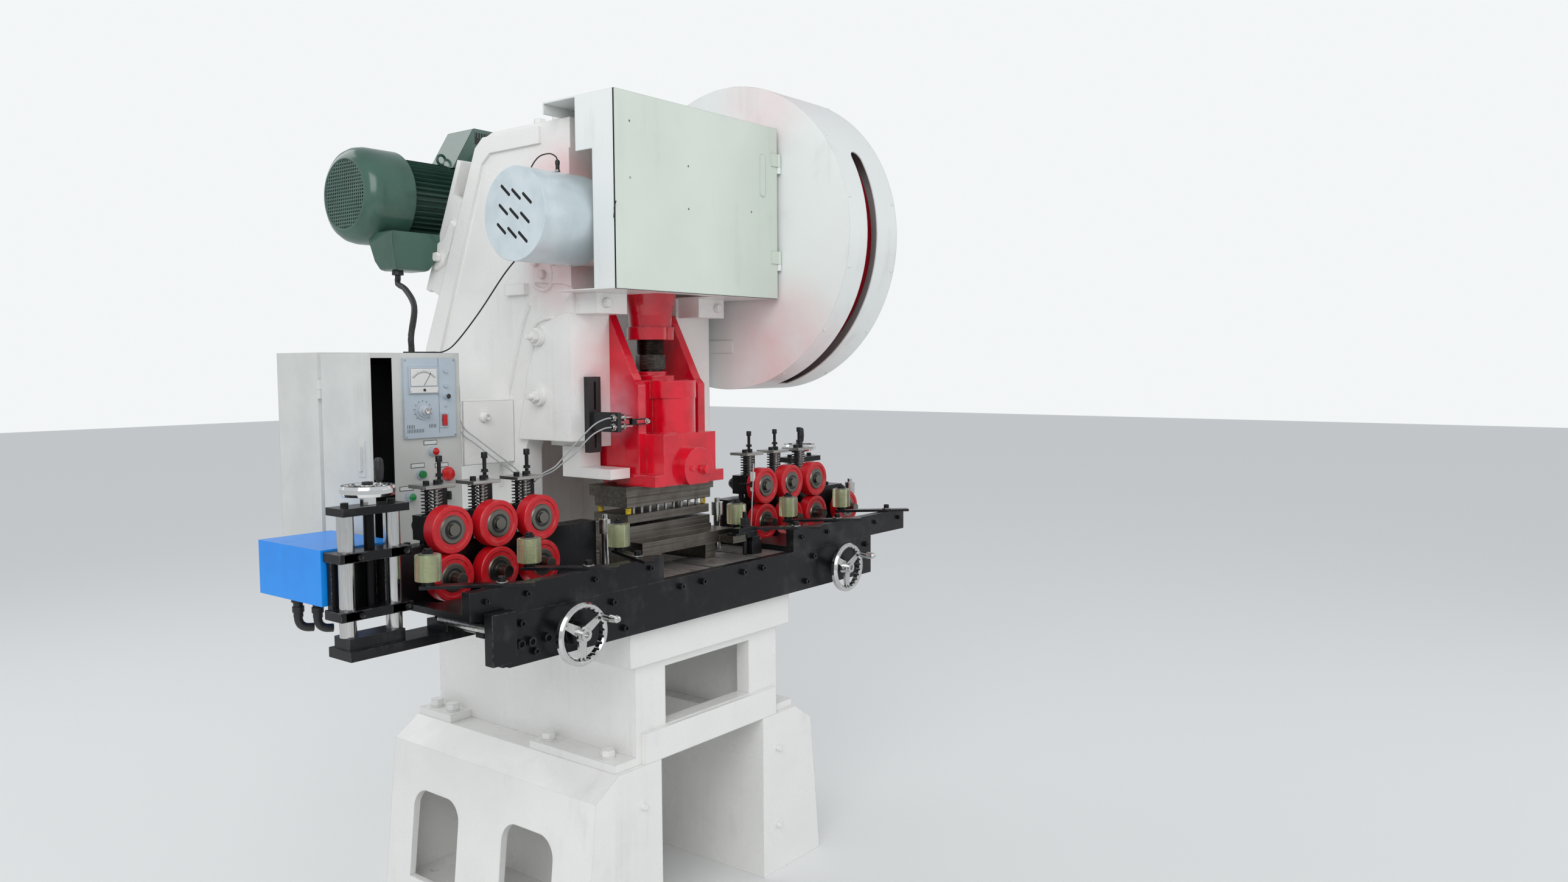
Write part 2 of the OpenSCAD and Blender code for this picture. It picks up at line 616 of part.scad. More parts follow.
module lower_die() color("#4a443e") on_ram() difference() {
  union() {
    block([-182, -80, -144], [172, 70, -116]);
    block([-182, -82, -159], [176, 75, -143]);
    block([-184, -140, -196], [212, 90, -158]);
    block([150, -196, -196], [212, -139, -174]);
    both_sides() block([96, -130, table_z - ram_z], [140, 88, -195]);
  }
  punch_holes(-197, -115);
}
module die_clamp() color("#3a3a3c") on_ram() {
  difference() {
    union() {
      block([158, -200, -186], [262, -164, -168]);
      block([176, -198, -169], [254, -166, -154]);
    }
    block([150, -201, -187], [212.3, -163, -173.7]);
  }
  rod_z(table_z - ram_z, -106, 7, 222, -182);
  translate([222, -182, -154]) hex_head(24, 28);
  block([234, -202, table_z - ram_z], [280, -162, table_z - ram_z + 38]);
  block([236, -202, table_z - ram_z + 37], [270, -162, -186]);
}
module sensor_bar() color("#1d1d1f") on_press() difference() {
  union() {
    block([-246, 6, 1366], [-200, head_front, 1585]);
    for (z = [1443, 1469]) rod_x(-252, -178, 6, -93, z);
    block([-236, -101, 1428], [-222, 7, 1484]);
  }
  block([-226, 5, 1380], [-218, head_front + 1, 1420]);
  block([-226, 5, 1490], [-218, head_front + 1, 1570]);
}

module beam_plate() color("#9a9c9b") on_press() {
  hx = beam_len / 2;
  difference() {
    union() {
      block([-hx, beam_front, 899], [hx, beam_back, 899 + beam_h]);
      for (x = wheel_x) rod_y(beam_front - 16, beam_front + 1, 30, x, wheel_z);
      block([-hx - 24, beam_front - 6, 905], [-hx, beam_back, 985]);
    }
    for (x = wheel_x) rod_y(beam_front - 20, beam_back + 1, 11.3, x, wheel_z);
  }
}
wheel_x = [193 - beam_len / 2, beam_len / 2 - 204];
wheel_z = 950;
module feed_channels() color("#c9c9c6") on_press() {
  block([-band_x, beam_back, table_z], [left_x1, 110, beam_top + 1]);
  block([right_x0, beam_back, table_z], [band_x, 110, beam_top + 1]);
  block([right_lift_x - 92, 60, beam_top], [right_lift_x + 92, right_lift_y + 40, beam_top + 16]);
  feed_side(left_x0, left_x1, left_rolls, left_rolls);
  feed_side(right_x0, right_x1, right_rolls, concat(right_rolls, [last_low_x]));
  block([right_x1 - 1, -52, 1027], [post_x[2] + 20, -8, 1043]);
  // Brackets under the channels, back to the bed
  both_sides() for (x = [430, 640]) block([x, beam_back, 940], [x + 14, bearing_bar_y1, 1028]);
}
shaft_r = 15;
high_z = feed_z + roller_r;
low_z = feed_z - roller_r - 0.3;
last_low_x = 940;
left_rolls = [for (i = [0:2]) first_roller_x + i * roller_pitch];
right_rolls = [for (i = [0:2]) first_right_x + i * roller_pitch];
// Small steel guide rollers on upright pins
post_x = [-224, 265, 1016];
post_base = [table_z, table_z, 1043];
left_x0 = -885;
left_x1 = -246;
right_x0 = 339;
right_x1 = 988;
spring_z = 1313;
// One side's channel: base plate with windows, front bar, rear bearing bar, roller blocks and guide rollers
module feed_side(x0, x1, rolls, lows) {
  difference() {
    union() {
      block([x0, beam_front, 1027], [x1, 110, 1043]);
      block([x0, beam_front, 1043], [x1, beam_front + 30, 1096]);
      block([x0, bearing_bar_y0, 1042], [x1, bearing_bar_y1, 1172]);
    }
    for (x = lows) {
      block([x - 64, -90, 1026], [x + 64, -28, 1044]);
      rod_y(bearing_bar_y0 - 1, bearing_bar_y1 + 1, shaft_r + run_gap, x, low_z);
    }
  }
  for (x = rolls) {
    difference() {
      block([x - 34, bearing_bar_y0, 1182], [x + 34, bearing_bar_y1, 1244]);
      rod_y(bearing_bar_y0 - 1, bearing_bar_y1 + 1, shaft_r + run_gap, x, high_z);
    }
    for (s = [-1, 1]) rod_z(1170, 1183, 9, x + s * 24, 16);
    block([x - 40, bearing_bar_y0 - 12, spring_z], [x + 45, bearing_bar_y1 + 4, spring_z + 8]);
    rod_z(1170, 1376, 5, x + 40, 34);
    translate([x + 40, 34, spring_z + 8]) hex_head(17, 8);
    translate([x + 40, 34, spring_z + 24]) hex_head(17, 8);
    block([x + 30, bearing_bar_y0 + 30, 1170], [x + 50, bearing_bar_y1, spring_z]);
  }
}
module beam_bolts() color("#2b2b2d") on_press() {
  for (x = [-740, -700, -440, -400, -180, -90, 90, 180, 400, 440, 700, 740])
    translate([x, beam_front, x % 100 == 0 ? 925 : 1001]) rotate([90, 0, 0]) socket_head(18, 12);
  for (x = [-840, -720, -500, -300, 380, 520, 800, 950])
    translate([x, beam_front, 1070]) rotate([90, 0, 0]) socket_head(14, 9);
  for (x = [-846, -704, -562, 535, 676, 930]) translate([x, 16, 1172]) socket_head(16, 10);
}
// Handwheel with a fluted rim, three spokes and a spinning grip, its rim face towards +Z of the rotated frame
module handwheel(r, flutes) rotate([90, 0, 0]) {
  difference() {
    union() {
      rotate_extrude($fn = 96) polygon([[r * 0.80, 8], [r * 0.86, 3], [r * 0.94, 3], [r, 10], [r, 20],
        [r * 0.94, 27], [r * 0.86, 27], [r * 0.80, 22]]);
      for (i = [0:2]) rotate([0, 0, 30 + i * 120]) translate([0, 0, 10]) linear_extrude(9)
        polygon([[r * 0.12, -r * 0.17], [r * 0.84, -r * 0.11], [r * 0.84, r * 0.11], [r * 0.12, r * 0.17]]);
      cylinder(r = r * 0.26, h = 26);
      cylinder(r = r * 0.20, h = 34);
    }
    for (i = [0:flutes - 1]) rotate([0, 0, i * 360 / flutes])
      translate([r * 0.79, 0, -1]) cylinder(r = r * 0.05, h = 40, $fn = 16);
    translate([0, 0, 24]) cylinder(r = r * 0.10, h = 20);
  }
  rotate([0, 0, 30]) translate([r * 0.88, 0, 24]) rotate_extrude($fn = 32)
    polygon([[0, 0], [6, 0], [6, 7], [9, 9], [10, 14], [11.5, 34], [10, 54], [7, 60], [0, 62]]);
}
module front_wheel(x) translate([x, 0, wheel_z]) {
  translate([0, beam_front - 26, 0]) handwheel(wheel_d / 2, 24);
  rod_y(beam_front - 30, beam_back + 30, 11, 0, 0);
  rod_y(beam_back + 2, beam_back + 20, 18, 0, 0);
}
module front_wheel_left() color("#c8cacc") on_press() front_wheel(wheel_x[0]);
module front_wheel_right() color("#c8cacc") on_press() front_wheel(wheel_x[1]);
lift_y = [left_lift_y, right_lift_y];
lift_x = [left_lift_x, right_lift_x];
module left_base() color("#b9bab8") on_press() {
  block([-1094, -132, 955], [-690, -40, 978]);
  block([-1090, -122, 977], [-948, -58, 1006]);
  block([-830, -80, 950], [-770, -44, 956]);
  block([-840, -132, 977], [-772, -50, 1000]);
  rod_y(beam_back, -49, 17, -802, 992);
  block([-826, beam_back, 975], [-772, beam_back + 30, 1010]);
}
module lift_posts() color("#c4c6c8") on_press() {
  for (s = [-1, 1]) {
    rod_z(1006, lift_top[0], post_d / 2, left_lift_x + s * post_span / 2, left_lift_y);
    rod_z(beam_top + 16, lift_top[1], post_d / 2, right_lift_x + s * post_span / 2, right_lift_y);
  }
  guide_posts();
}
lift_top = [1284, 1256];
module lift_bridges() color("#bdbfc0") on_press() for (i = [0, 1]) difference() {
  union() {
    block([lift_x[i] - 84, lift_y[i] - 36, lift_top[i]],
      [lift_x[i] + 84, lift_y[i] + 36, lift_top[i] + lift_bar_t]);
    for (s = [-1, 1])
      translate([lift_x[i] + s * post_span / 2, lift_y[i], lift_top[i] + lift_bar_t]) socket_head(18, 10);
  }
  rod_z(lift_top[i] - 3, lift_top[i] + lift_bar_t + 1, 12.3, lift_x[i], lift_y[i]);
}
module lift_screw(z_top) {
  rod_z(carriage_z0 + 20, z_top + lift_bar_t + 2, 12, 0, 0);
  rod_z(z_top + lift_bar_t + 0.3, z_top + lift_bar_t + 20, 20, 0, 0, $fn = 6);
  translate([0, 0, z_top + lift_bar_t + 19]) rotate([-90, 0, 0]) handwheel(lift_wheel_d / 2, 20);
}
module left_lift_screw() color("#b4b7ba") on_press()
  translate([lift_x[0], lift_y[0], 0]) lift_screw(lift_top[0]);
module right_lift_screw() color("#b4b7ba") on_press()
  translate([lift_x[1], lift_y[1], 0]) lift_screw(lift_top[1]);
// Lift carriage block with its split clamps, bored for the two posts and tapped clear of the screw
module carriage(i) translate([lift_x[i], lift_y[i], 0]) difference() {
  union() {
    block([-86, -26, carriage_z0], [86, 40, carriage_z1]);
    for (z = [carriage_z0, carriage_z1 - 22]) block([-92, -30, z], [92, 40, z + 22]);
    for (s = [-1, 1], z = [carriage_z0 + 11, carriage_z1 - 11])
      translate([s * post_span / 2 + 16, -30, z]) rotate([90, 0, 0]) socket_head(14, 8);
  }
  for (s = [-1, 1]) rod_z(carriage_z0 - 1, carriage_z1 + 1, post_d / 2 + 0.3, s * post_span / 2, 0);
  rod_z(carriage_z0 - 1, carriage_z1 + 1, 12.4, 0, 0);
  for (s = [-1, 1], z = [carriage_z0 - 1, carriage_z1 - 23])
    block([s * post_span / 2 - 1.5, -32, z], [s * post_span / 2 + 1.5, 0, z + 24]);
}
module left_carriage() color("#2a2b2d") on_press() {
  carriage(0);
  block([left_lift_x - 60, left_lift_y + 39, 1080], [left_lift_x + 60, -52, 1180]);
}
module right_carriage() color("#2a2b2d") on_press() {
  carriage(1);
  block([right_lift_x - 60, right_lift_y + 39, 1060], [right_lift_x + 60, right_lift_y + 60, 1170]);
}
module blue_cover() color("#1769b5") on_press() difference() {
  block([-1114, -52, 1075], [-925, 225, 1204]);
  block([-1110, -48, 1074], [-929, 221, 1200]);
}
// Roller lying along Y: facing, rounded edges and a shaft back through the bearing bar
module roller(x, z, shaft_front) {
  r = roller_d / 2;
  translate([x, roller_y0, z]) rotate([-90, 0, 0]) rotate_extrude($fn = 96)
    polygon([[0, 0], [34, 0], [36, 3], [r - 14, 3], [r - 12, 0], [r - 2, 0], [r, 2],
      [r, roller_w - 2], [r - 2, roller_w], [0, roller_w]]);
  rod_y(-shaft_front, bearing_bar_y1 + 34, shaft_r, x, z);
  rod_y(roller_y1, bearing_bar_y0 - 2, 24, x, z);
  rod_y(bearing_bar_y1 + 2, bearing_bar_y1 + 22, 22, x, z);
}
module left_roller(i, z, out) roller(first_roller_x + i * roller_pitch, z, out);
module upper_roller_1() color("#e01b22") on_press() left_roller(0, high_z, 84);
module upper_roller_2() color("#e01b22") on_press() left_roller(1, high_z, 84);
module upper_roller_3() color("#e01b22") on_press() left_roller(2, high_z, 84);
module lower_roller_1() color("#e01b22") on_press() left_roller(0, low_z, 110);
module lower_roller_2() color("#e01b22") on_press() left_roller(1, low_z, 110);
module lower_roller_3() color("#e01b22") on_press() left_roller(2, low_z, 110);
module right_rollers() color("#e01b22") on_press() {
  for (x = right_rolls) roller(x, high_z, 84);
  for (x = concat(right_rolls, [last_low_x])) roller(x, low_z, 110);
}
module press_springs() color("#8d9092") on_press()
  for (x0 = [first_roller_x, first_right_x], i = [0:2], dx = [-20, 10])
    translate([x0 + i * roller_pitch + dx, 4, 1244]) rotate_extrude($fn = 32) polygon(concat(
      [[5, 0], [11, 0]], [for (i = [0:8]) each [[11, i * 7.6 + 1], [8.6, i * 7.6 + 4.8]]],
      [[11, 69], [5, 69]]));
// Guide arms: foot on the front bar, pivot at the roller
arm_ends = [[-905, -156, -780, -268], [-600, -150, -505, -268], [-285, -150, -330, -268],
  [250, -124, 372, -268], [485, -150, 600, -268], [790, -150, 900, -268]];
module guide_arms() color("#b7b9ba") on_press() for (a = arm_ends) {
  turn = atan2(a[3] - a[1], a[2] - a[0]);
  translate([a[0], a[1], 1096]) rotate([0, 0, turn])
    block([-20, -arm_w / 2, 0], [norm([a[2] - a[0], a[3] - a[1]]) + arm_tail, arm_w / 2, 8]);
  rod_z(1103, 1115, 14, a[0], a[1]);
  rod_z(1106, 1184, 10, a[0], a[1]);
  translate([a[0], a[1], 1178]) hex_head(24, 9);
  translate([a[2], a[3], 1103]) {
    cylinder(r = 13, h = 4);
    translate([0, 0, 3]) socket_head(18, 12);
  }
}
arm_w = 30;
arm_tail = 78;
module guide_posts() for (i = [0:2]) {
  x = post_x[i];
  rod_z(post_base[i], 1135, 13, x, -30);
  rod_z(1134, 1176, 19, x, -30);
  translate([x, -30, 1175]) socket_head(18, 14);
}
module guide_rollers() color("#d9c9a3") on_press() for (a = arm_ends)
  translate([a[0], a[1], 1115]) rotate_extrude()
    polygon([[10, 0], [28, 0], [31, 3], [31, 60], [28, 63], [10, 63]]);
module cabinet() color("#dadbd8") on_press() {
  t = 2;
  y1 = cab_y0 + cabinet_d;
  difference() {
    block([cab_x0, cab_y0, cab_z0], [cab_x1, y1, cab_z1]);
    block([cab_x0 + t, cab_y0 + t, cab_z0 + t], [cab_x1 - t, y1 - t, cab_z1 - t]);
    block([cab_x0 + 12, cab_y0 - 1, cab_z0 + 14], [cab_post_x, cab_y0 + t + 1, cab_z1 - 14]);
    block([-648, cab_y0 - 1, 1430], [-504, cab_y0 + t + 1, 1628]);
    // Cable entries
    rod_z(cab_z1 - t - 1, cab_z1 + 1, motor_cable_r + 0.8, motor_route[0][0], motor_route[0][1]);
    rod_z(cab_z1 - t - 1, cab_z1 + 1, signal_r + 0.8, -520, 400);
    rod_x(cab_x1 - t - 1, cab_x1 + 1, signal_r + 1.5, 372.7, 1600);
  }
  // Mounting panel with contactors, breaker and terminals
  block([cab_x0 + 20, y1 - 14, cab_z0 + 30], [cab_x1 - 20, y1 - 11.5, cab_z1 - 30]);
  both_sides_of((cab_x0 + cab_x1) / 2) block([150, y1 - 12, cab_z0 + 60], [170, y1 - t + 0.5, cab_z1 - 60]);
  for (i = [0:2]) block([-880 + i * 62, y1 - 90, 1500], [-828 + i * 62, y1 - 13, 1580]);
  for (i = [0:1]) block([-880 + i * 92, y1 - 70, 1380], [-810 + i * 92, y1 - 13, 1450]);
  for (i = [0:8]) block([-880 + i * 20, y1 - 50, 1230], [-862 + i * 20, y1 - 13, 1280]);
  for (z = [1320, 1470]) block([-890, y1 - 60, z], [-700, y1 - 13, z + 28]);
  block([-892, y1 - 60, 1190], [-866, y1 - 13, 1600]);
  for (z = hinge_c) rod_z(z - 24, z - 0.3, 7, cab_x0, cab_y0 - 8);
  for (z = hinge_c) block([cab_x0, cab_y0 - 8, z - 24], [cab_x0 + 10, cab_y0 + t, z - 0.3]);
}
hinge_c = [1130, 1560];
module both_sides_of(x) { translate([x, 0, 0]) both_sides() children(); }
module cabinet_door() color("#d5d6d3") on_press() {
  w = cab_post_x - cab_x0 - 2;
  y1 = cab_y0 - 18;
  block([cab_x0 - 1, y1 - w, cab_z0 + 4], [cab_x0 + 1, y1, cab_z1 - 4]);
  for (z = [cab_z0 + 4, cab_z1 - 6]) block([cab_x0 - 1, y1 - w, z], [cab_x0 + 7, y1, z + 2]);
  block([cab_x0 - 1, y1 - w, cab_z0 + 4], [cab_x0 + 7, y1 - w + 2, cab_z1 - 4]);
  for (z = hinge_c) rod_z(z, z + 24, 7, cab_x0, cab_y0 - 8);
  for (z = hinge_c) block([cab_x0 - 1, y1 - 20, z], [cab_x0 + 3, cab_y0 - 8, z + 24]);
  block([cab_x0 - 3, y1 - w + 20, 1345], [cab_x0, y1 - w + 52, 1435]);
  block([cab_x0 - 10, y1 - w + 30, 1360], [cab_x0 - 2, y1 - w + 42, 1420]);
}
module control_panel() color("#a9b9c4") on_press() {
  y = cab_y0;
  difference() {
    union() {
      block([-660, y - 8, 1418], [-492, y, 1640]);
      block([-546, y - 10, 1444], [-520, y - 7, 1488]);
    }
    block([-542, y - 11, 1449], [-524, y - 7.9, 1483]);
  }
  block([-648, y - 0.1, 1430], [-504, y + 60, 1628]);
  block([-646, y - 12, 1541], [-551, y - 7, 1617]);
  rod_y(y - 11, y - 7, 24, knob_x, knob_z);
  for (z = [1562, 1604]) rod_y(y - 14, y - 7, 5, -527, z);
  rod_y(y - 16, y - 7, 8, -527, 1533);
  rod_y(y - 11, y - 7, 4, -527, 1507);
  for (p = lamps) {
    rod_y(y - 8, y, 14, p[0], p[1]);
    rod_y(y - 18, y - 7, 11, p[0], p[1]);
  }
  rod_y(y - 8, y, 14, selector_at[0], selector_at[1]);
  bezel(14, start_at);
  bezel(16, estop_at);
}
knob_x = -602;
knob_z = 1494;
lamps = [[-569, 1379], [-647, 1257]];
start_at = [-609, 1317];
estop_at = [-530, 1313];
selector_at = [-530, 1252];
rocker_at = [-533, 1466];
// Button collar on the cabinet face with its blind bore
module bezel(r, p) difference() {
  rod_y(cab_y0 - 8, cab_y0, r, p[0], p[1]);
  rod_y(cab_y0 - 9, cab_y0 - 1, 10.3, p[0], p[1]);
}
// Puts what follows on the cabinet's front, local Z pointing out of it
module on_face(p, out) { translate([p[0], cab_y0 - out, p[1]]) rotate([90, 0, 0]) children(); }
module speed_knob() color("#b9c6cf") on_press() on_face([knob_x, knob_z], 11.3) {
  cylinder(r = 17, h = 5);
  rotate_extrude() polygon([[0, 0], [13, 0], [12, 16], [10, 19], [0, 19]]);
  block([-1, 0, 18], [1, 10, 20.6]);
}
module estop_button() color("#d3161b") on_press() on_face(estop_at, 12.3) {
  rotate_extrude() polygon([[0, 0], [20, 0], [20, 8], [16, 14], [0, 16]]);
  translate([0, 0, -6.3]) cylinder(r = 10, h = 7);
}
module start_button() color("#1f8a3b") on_press() on_face(start_at, 4) cylinder(r = 10, h = 12);
module selector_knob() color("#1d1d1f") on_press() on_face(selector_at, 8.3) {
  cylinder(r = 12, h = 6);
  block([-4, -12, 5], [4, 12, 16]);
}
module rocker_switch() color("#c01418") on_press() on_face(rocker_at, 10.3) {
  block([-7, -15, 0.5], [7, 15, 4]);
  translate([-7, 0, 0]) rotate([0, 90, 0]) cylinder(r = 2.1, h = 14);
}
motor_cable_r = 9;
signal_r = 4;
// Held cables: centre lines as lists of points, swept with rings square to the run
motor_route = [[-560, 400, 1640], [-560, 400, 1672], [-560, 400, 1706], [-520, 440, 1790], [-440, 600, 1850],
  [-400, 700, 1874], [-400, 700, 1894], [-400, 700, 1914.6]];
sensor_route = [[-230, 16, 1585.5], [-230, 16, 1600], [-250, -6, 1634], [-300, 0, 1640], [-330, 60, 1630],
  [-342, 160, 1612], [-380, 290, 1602], [-440, 372, 1600], [-478, 372, 1600]];
brake_route = [[-432, 24.6, 2160], [-432, 60, 2160], [-420, 110, 2144], [-380, 170, 2080], [-340, 230, 1950],
  [-330, 300, 1800], [-400, 370, 1710], [-500, 400, 1700], [-520, 400, 1680], [-520, 400, 1640]];
function mix(a, b, t) = a * (1 - t) + b * t;
function spline(p, i, t) = let (a = p[max(i - 1, 0)], b = p[i], c = p[i + 1], d = p[min(i + 2, len(p) - 1)])
  0.5 * (2 * b + (c - a) * t + (2 * a - 5 * b + 4 * c - d) * t * t + (3 * b - a - 3 * c + d) * t * t * t);
function run_points(p, n) =
  concat([for (i = [0:len(p) - 2], k = [0:n - 1]) spline(p, i, k / n)], [p[len(p) - 1]]);
function ring_at(c, dir, r, sides) =
  let (d = dir / norm(dir), u = cross(d, [0.31, 0.17, 0.9]), a = u / norm(u), b = cross(d, a))
  [for (k = [0:sides - 1]) c + r * (cos(k * 360 / sides) * a + sin(k * 360 / sides) * b)];
module cable(route, r) {
  p = run_points(route, 6);
  n = len(p);
  s = 8;
  pts = [for (i = [0:n - 1]) each ring_at(p[i], p[min(i + 1, n - 1)] - p[max(i - 1, 0)], r, s)];
  polyhedron(pts, concat([[for (k = [0:s - 1]) k]], [[for (k = [0:s - 1]) (n - 1) * s + s - 1 - k]],
    [for (i = [0:n - 2], k = [0:s - 1]) [i * s + k, (i + 1) * s + k, (i + 1) * s + (k + 1) % s]],
    [for (i = [0:n - 2], k = [0:s - 1]) [i * s + k, (i + 1) * s + (k + 1) % s, i * s + (k + 1) % s]]));
}
module motor_cable() color("#2a2a2c") on_press() cable(motor_route, motor_cable_r);
module signal_cables() color("#202022") on_press() {
  cable(sensor_route, signal_r);
  cable(brake_route, signal_r);
}

press_frame();
press_bed();
stand();
bolster_plate();
crank_cover();
crank_cover_door();
brake_guard();
flywheel_guard();
flywheel();
drive_belts();
motor_rotor();
drive_motor();
motor_plate();
crankshaft();
big_end();
connecting_rod();
ball_screw();
ram();
shank_clamp();
frame_bolts();
upper_die();
punches();
stripper_plate();
stripper_springs();
lower_die();
die_clamp();
sensor_bar();
beam_plate();
feed_channels();
beam_bolts();
front_wheel_left();
front_wheel_right();
left_base();
lift_posts();
lift_bridges();
left_lift_screw();
right_lift_screw();
left_carriage();
right_carriage();
blue_cover();
upper_roller_1();
upper_roller_2();
upper_roller_3();
lower_roller_1();
lower_roller_2();
lower_roller_3();
right_rollers();
press_springs();
guide_arms();
guide_rollers();
cabinet();
cabinet_door();
control_panel();
speed_knob();
estop_button();
start_button();
selector_knob();
rocker_switch();
motor_cable();
signal_cables();
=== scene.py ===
from math import cos, pi, radians, sin, sqrt
import bmesh
import bpy
from mathutils import Matrix, Vector


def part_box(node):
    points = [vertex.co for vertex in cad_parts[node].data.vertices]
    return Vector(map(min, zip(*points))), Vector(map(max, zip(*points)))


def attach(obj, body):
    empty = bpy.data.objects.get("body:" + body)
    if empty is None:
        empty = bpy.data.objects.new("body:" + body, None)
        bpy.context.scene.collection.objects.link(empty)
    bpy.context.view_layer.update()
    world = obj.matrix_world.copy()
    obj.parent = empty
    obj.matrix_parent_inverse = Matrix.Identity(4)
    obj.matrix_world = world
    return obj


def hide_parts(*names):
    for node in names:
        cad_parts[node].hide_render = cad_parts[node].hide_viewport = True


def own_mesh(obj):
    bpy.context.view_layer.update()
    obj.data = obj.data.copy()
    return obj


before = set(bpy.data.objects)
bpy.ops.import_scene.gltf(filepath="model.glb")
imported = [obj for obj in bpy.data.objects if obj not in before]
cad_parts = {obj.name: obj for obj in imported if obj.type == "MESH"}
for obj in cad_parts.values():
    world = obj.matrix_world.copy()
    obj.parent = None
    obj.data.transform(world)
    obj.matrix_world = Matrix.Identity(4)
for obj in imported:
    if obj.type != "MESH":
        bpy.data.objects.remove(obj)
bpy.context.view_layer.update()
print("stage: frame loaded")

ramY = -0.210  # the ram's axis in the row frame

# Camera
cameraSpot = {
    "place": (-2.464, -2.646, 1.620),
    "heading": 37.983,  # degrees from +X towards +Y
    "pitch": 3.917,  # degrees below the horizon
    "roll": -0.315,
    "lens": 25.98,
}


def makeCamera(spot):
    data = bpy.data.cameras.new("photoCamera")
    data.lens = spot["lens"]
    data.sensor_width = 36
    data.clip_start, data.clip_end = 0.05, 60
    camera = bpy.data.objects.new("photoCamera", data)
    bpy.context.scene.collection.objects.link(camera)
    heading, pitch = radians(spot["heading"]), radians(spot["pitch"])
    forward = Vector((cos(heading) * cos(pitch), sin(heading) * cos(pitch), -sin(pitch)))
    turn = forward.to_track_quat("-Z", "Y").to_matrix().to_4x4()
    roll = Matrix.Rotation(radians(spot["roll"]), 4, "Z")
    camera.matrix_world = Matrix.Translation(spot["place"]) @ (turn @ roll)
    bpy.context.scene.camera = camera


makeCamera(cameraSpot)

# Lights and floor
studio = {
    "worldColor": (0.93, 0.96, 1.0),
    "worldStrength": 0.66,
    "backdrop": (0.90, 0.92, 0.93),
    "floorColor": (0.86, 0.865, 0.855),
    "floorRough": 0.55,
    "floorReach": 30,
    "lamps": {  # place, aim, size in metres, power in watts
        "keyLight": ((-4.6, -3.4, 4.6), (0, 0, 1.4), 4.0, 150),
        "fillLight": ((3.6, -4.8, 3.2), (0.2, 0, 1.2), 3.0, 30),
        "rimLight": ((-1.5, 4.2, 4.6), (0, 0, 1.8), 3.0, 45),
    },
}


def areaLight(name, place, aim, size, power):
    data = bpy.data.lights.new(name, "AREA")
    data.shape = "SQUARE"
    data.size = size
    data.energy = power
    lamp = bpy.data.objects.new(name, data)
    bpy.context.scene.collection.objects.link(lamp)
    lamp.location = place
    lamp.rotation_euler = (Vector(aim) - Vector(place)).to_track_quat("-Z", "Y").to_euler()


def makeStudio(values):
    world = bpy.data.worlds.new("softStudio")
    bpy.context.scene.world = world
    world.use_nodes = True
    tree = world.node_tree
    back = tree.nodes["Background"]
    back.inputs["Color"].default_value = (*values["worldColor"], 1)
    back.inputs["Strength"].default_value = values["worldStrength"]
    white = tree.nodes.new("ShaderNodeBackground")
    white.inputs["Color"].default_value = (*values["backdrop"], 1)
    white.inputs["Strength"].default_value = 1
    rays = tree.nodes.new("ShaderNodeLightPath")
    mix = tree.nodes.new("ShaderNodeMixShader")
    tree.links.new(rays.outputs["Is Camera Ray"], mix.inputs[0])
    tree.links.new(back.outputs[0], mix.inputs[1])
    tree.links.new(white.outputs[0], mix.inputs[2])
    tree.links.new(mix.outputs[0], tree.nodes["World Output"].inputs["Surface"])
    for name, lamp in values["lamps"].items():
        areaLight(name, *lamp)
    reach = values["floorReach"]
    mesh = bpy.data.meshes.new("studioFloor")
    corners = [(-reach, -reach, 0), (reach, -reach, 0), (reach, reach, 0), (-reach, reach, 0)]
    mesh.from_pydata(corners, [], [(0, 1, 2, 3)])
    floor = bpy.data.objects.new("studioFloor", mesh)
    bpy.context.scene.collection.objects.link(floor)
    paint = bpy.data.materials.new("paleFloor")
    paint.use_nodes = True
    surface = paint.node_tree.nodes["Principled BSDF"]
    surface.inputs["Base Color"].default_value = (*values["floorColor"], 1)
    surface.inputs["Roughness"].default_value = values["floorRough"]
    mesh.materials.append(paint)


makeStudio(studio)
bpy.context.scene.view_settings.view_transform = "Standard"
print("stage: camera, lights and floor")


# Shader node helpers
def place(tree, kind, **settings):
    node = tree.nodes.new(kind)
    for name, value in settings.items():
        setattr(node, name, value)
    return node


def feed(tree, socket, value):
    if isinstance(value, bpy.types.NodeSocket):
        tree.links.new(value, socket)
    elif socket.type == "RGBA" and len(value) == 3:
        socket.default_value = (*value, 1)
    else:
        socket.default_value = value


def feedAll(tree, node, values):
    for socket, value in values.items():
        feed(tree, node.inputs[socket], value)


def sums(tree, operation, a, b=0.0, clamp=False):
    node = place(tree, "ShaderNodeMath", operation=operation, use_clamp=clamp)
    feedAll(tree, node, {0: a, 1: b})
    return node.outputs[0]


def times(tree, a, b, clamp=False):
    return sums(tree, "MULTIPLY", a, b, clamp)


# Smooth step from one range of values to another
def spread(tree, value, low, high, outLow=0.0, outHigh=1.0):
    node = place(tree, "ShaderNodeMapRange", interpolation_type="SMOOTHSTEP")
    feedAll(tree, node,
        {"Value": value, "From Min": low, "From Max": high, "To Min": outLow, "To Max": outHigh})
    return node.outputs["Result"]


def noise(tree, where, scale, detail=3.0, rough=0.5, distortion=0.0):
    node = place(tree, "ShaderNodeTexNoise")
    feedAll(tree, node,
        {"Vector": where, "Scale": scale, "Detail": detail, "Roughness": rough, "Distortion": distortion})
    return node.outputs["Fac"]


def blendColor(tree, amount, a, b):
    node = place(tree, "ShaderNodeMix", data_type="RGBA")
    feedAll(tree, node, {"Factor": amount, 6: a, 7: b})
    return node.outputs[2]


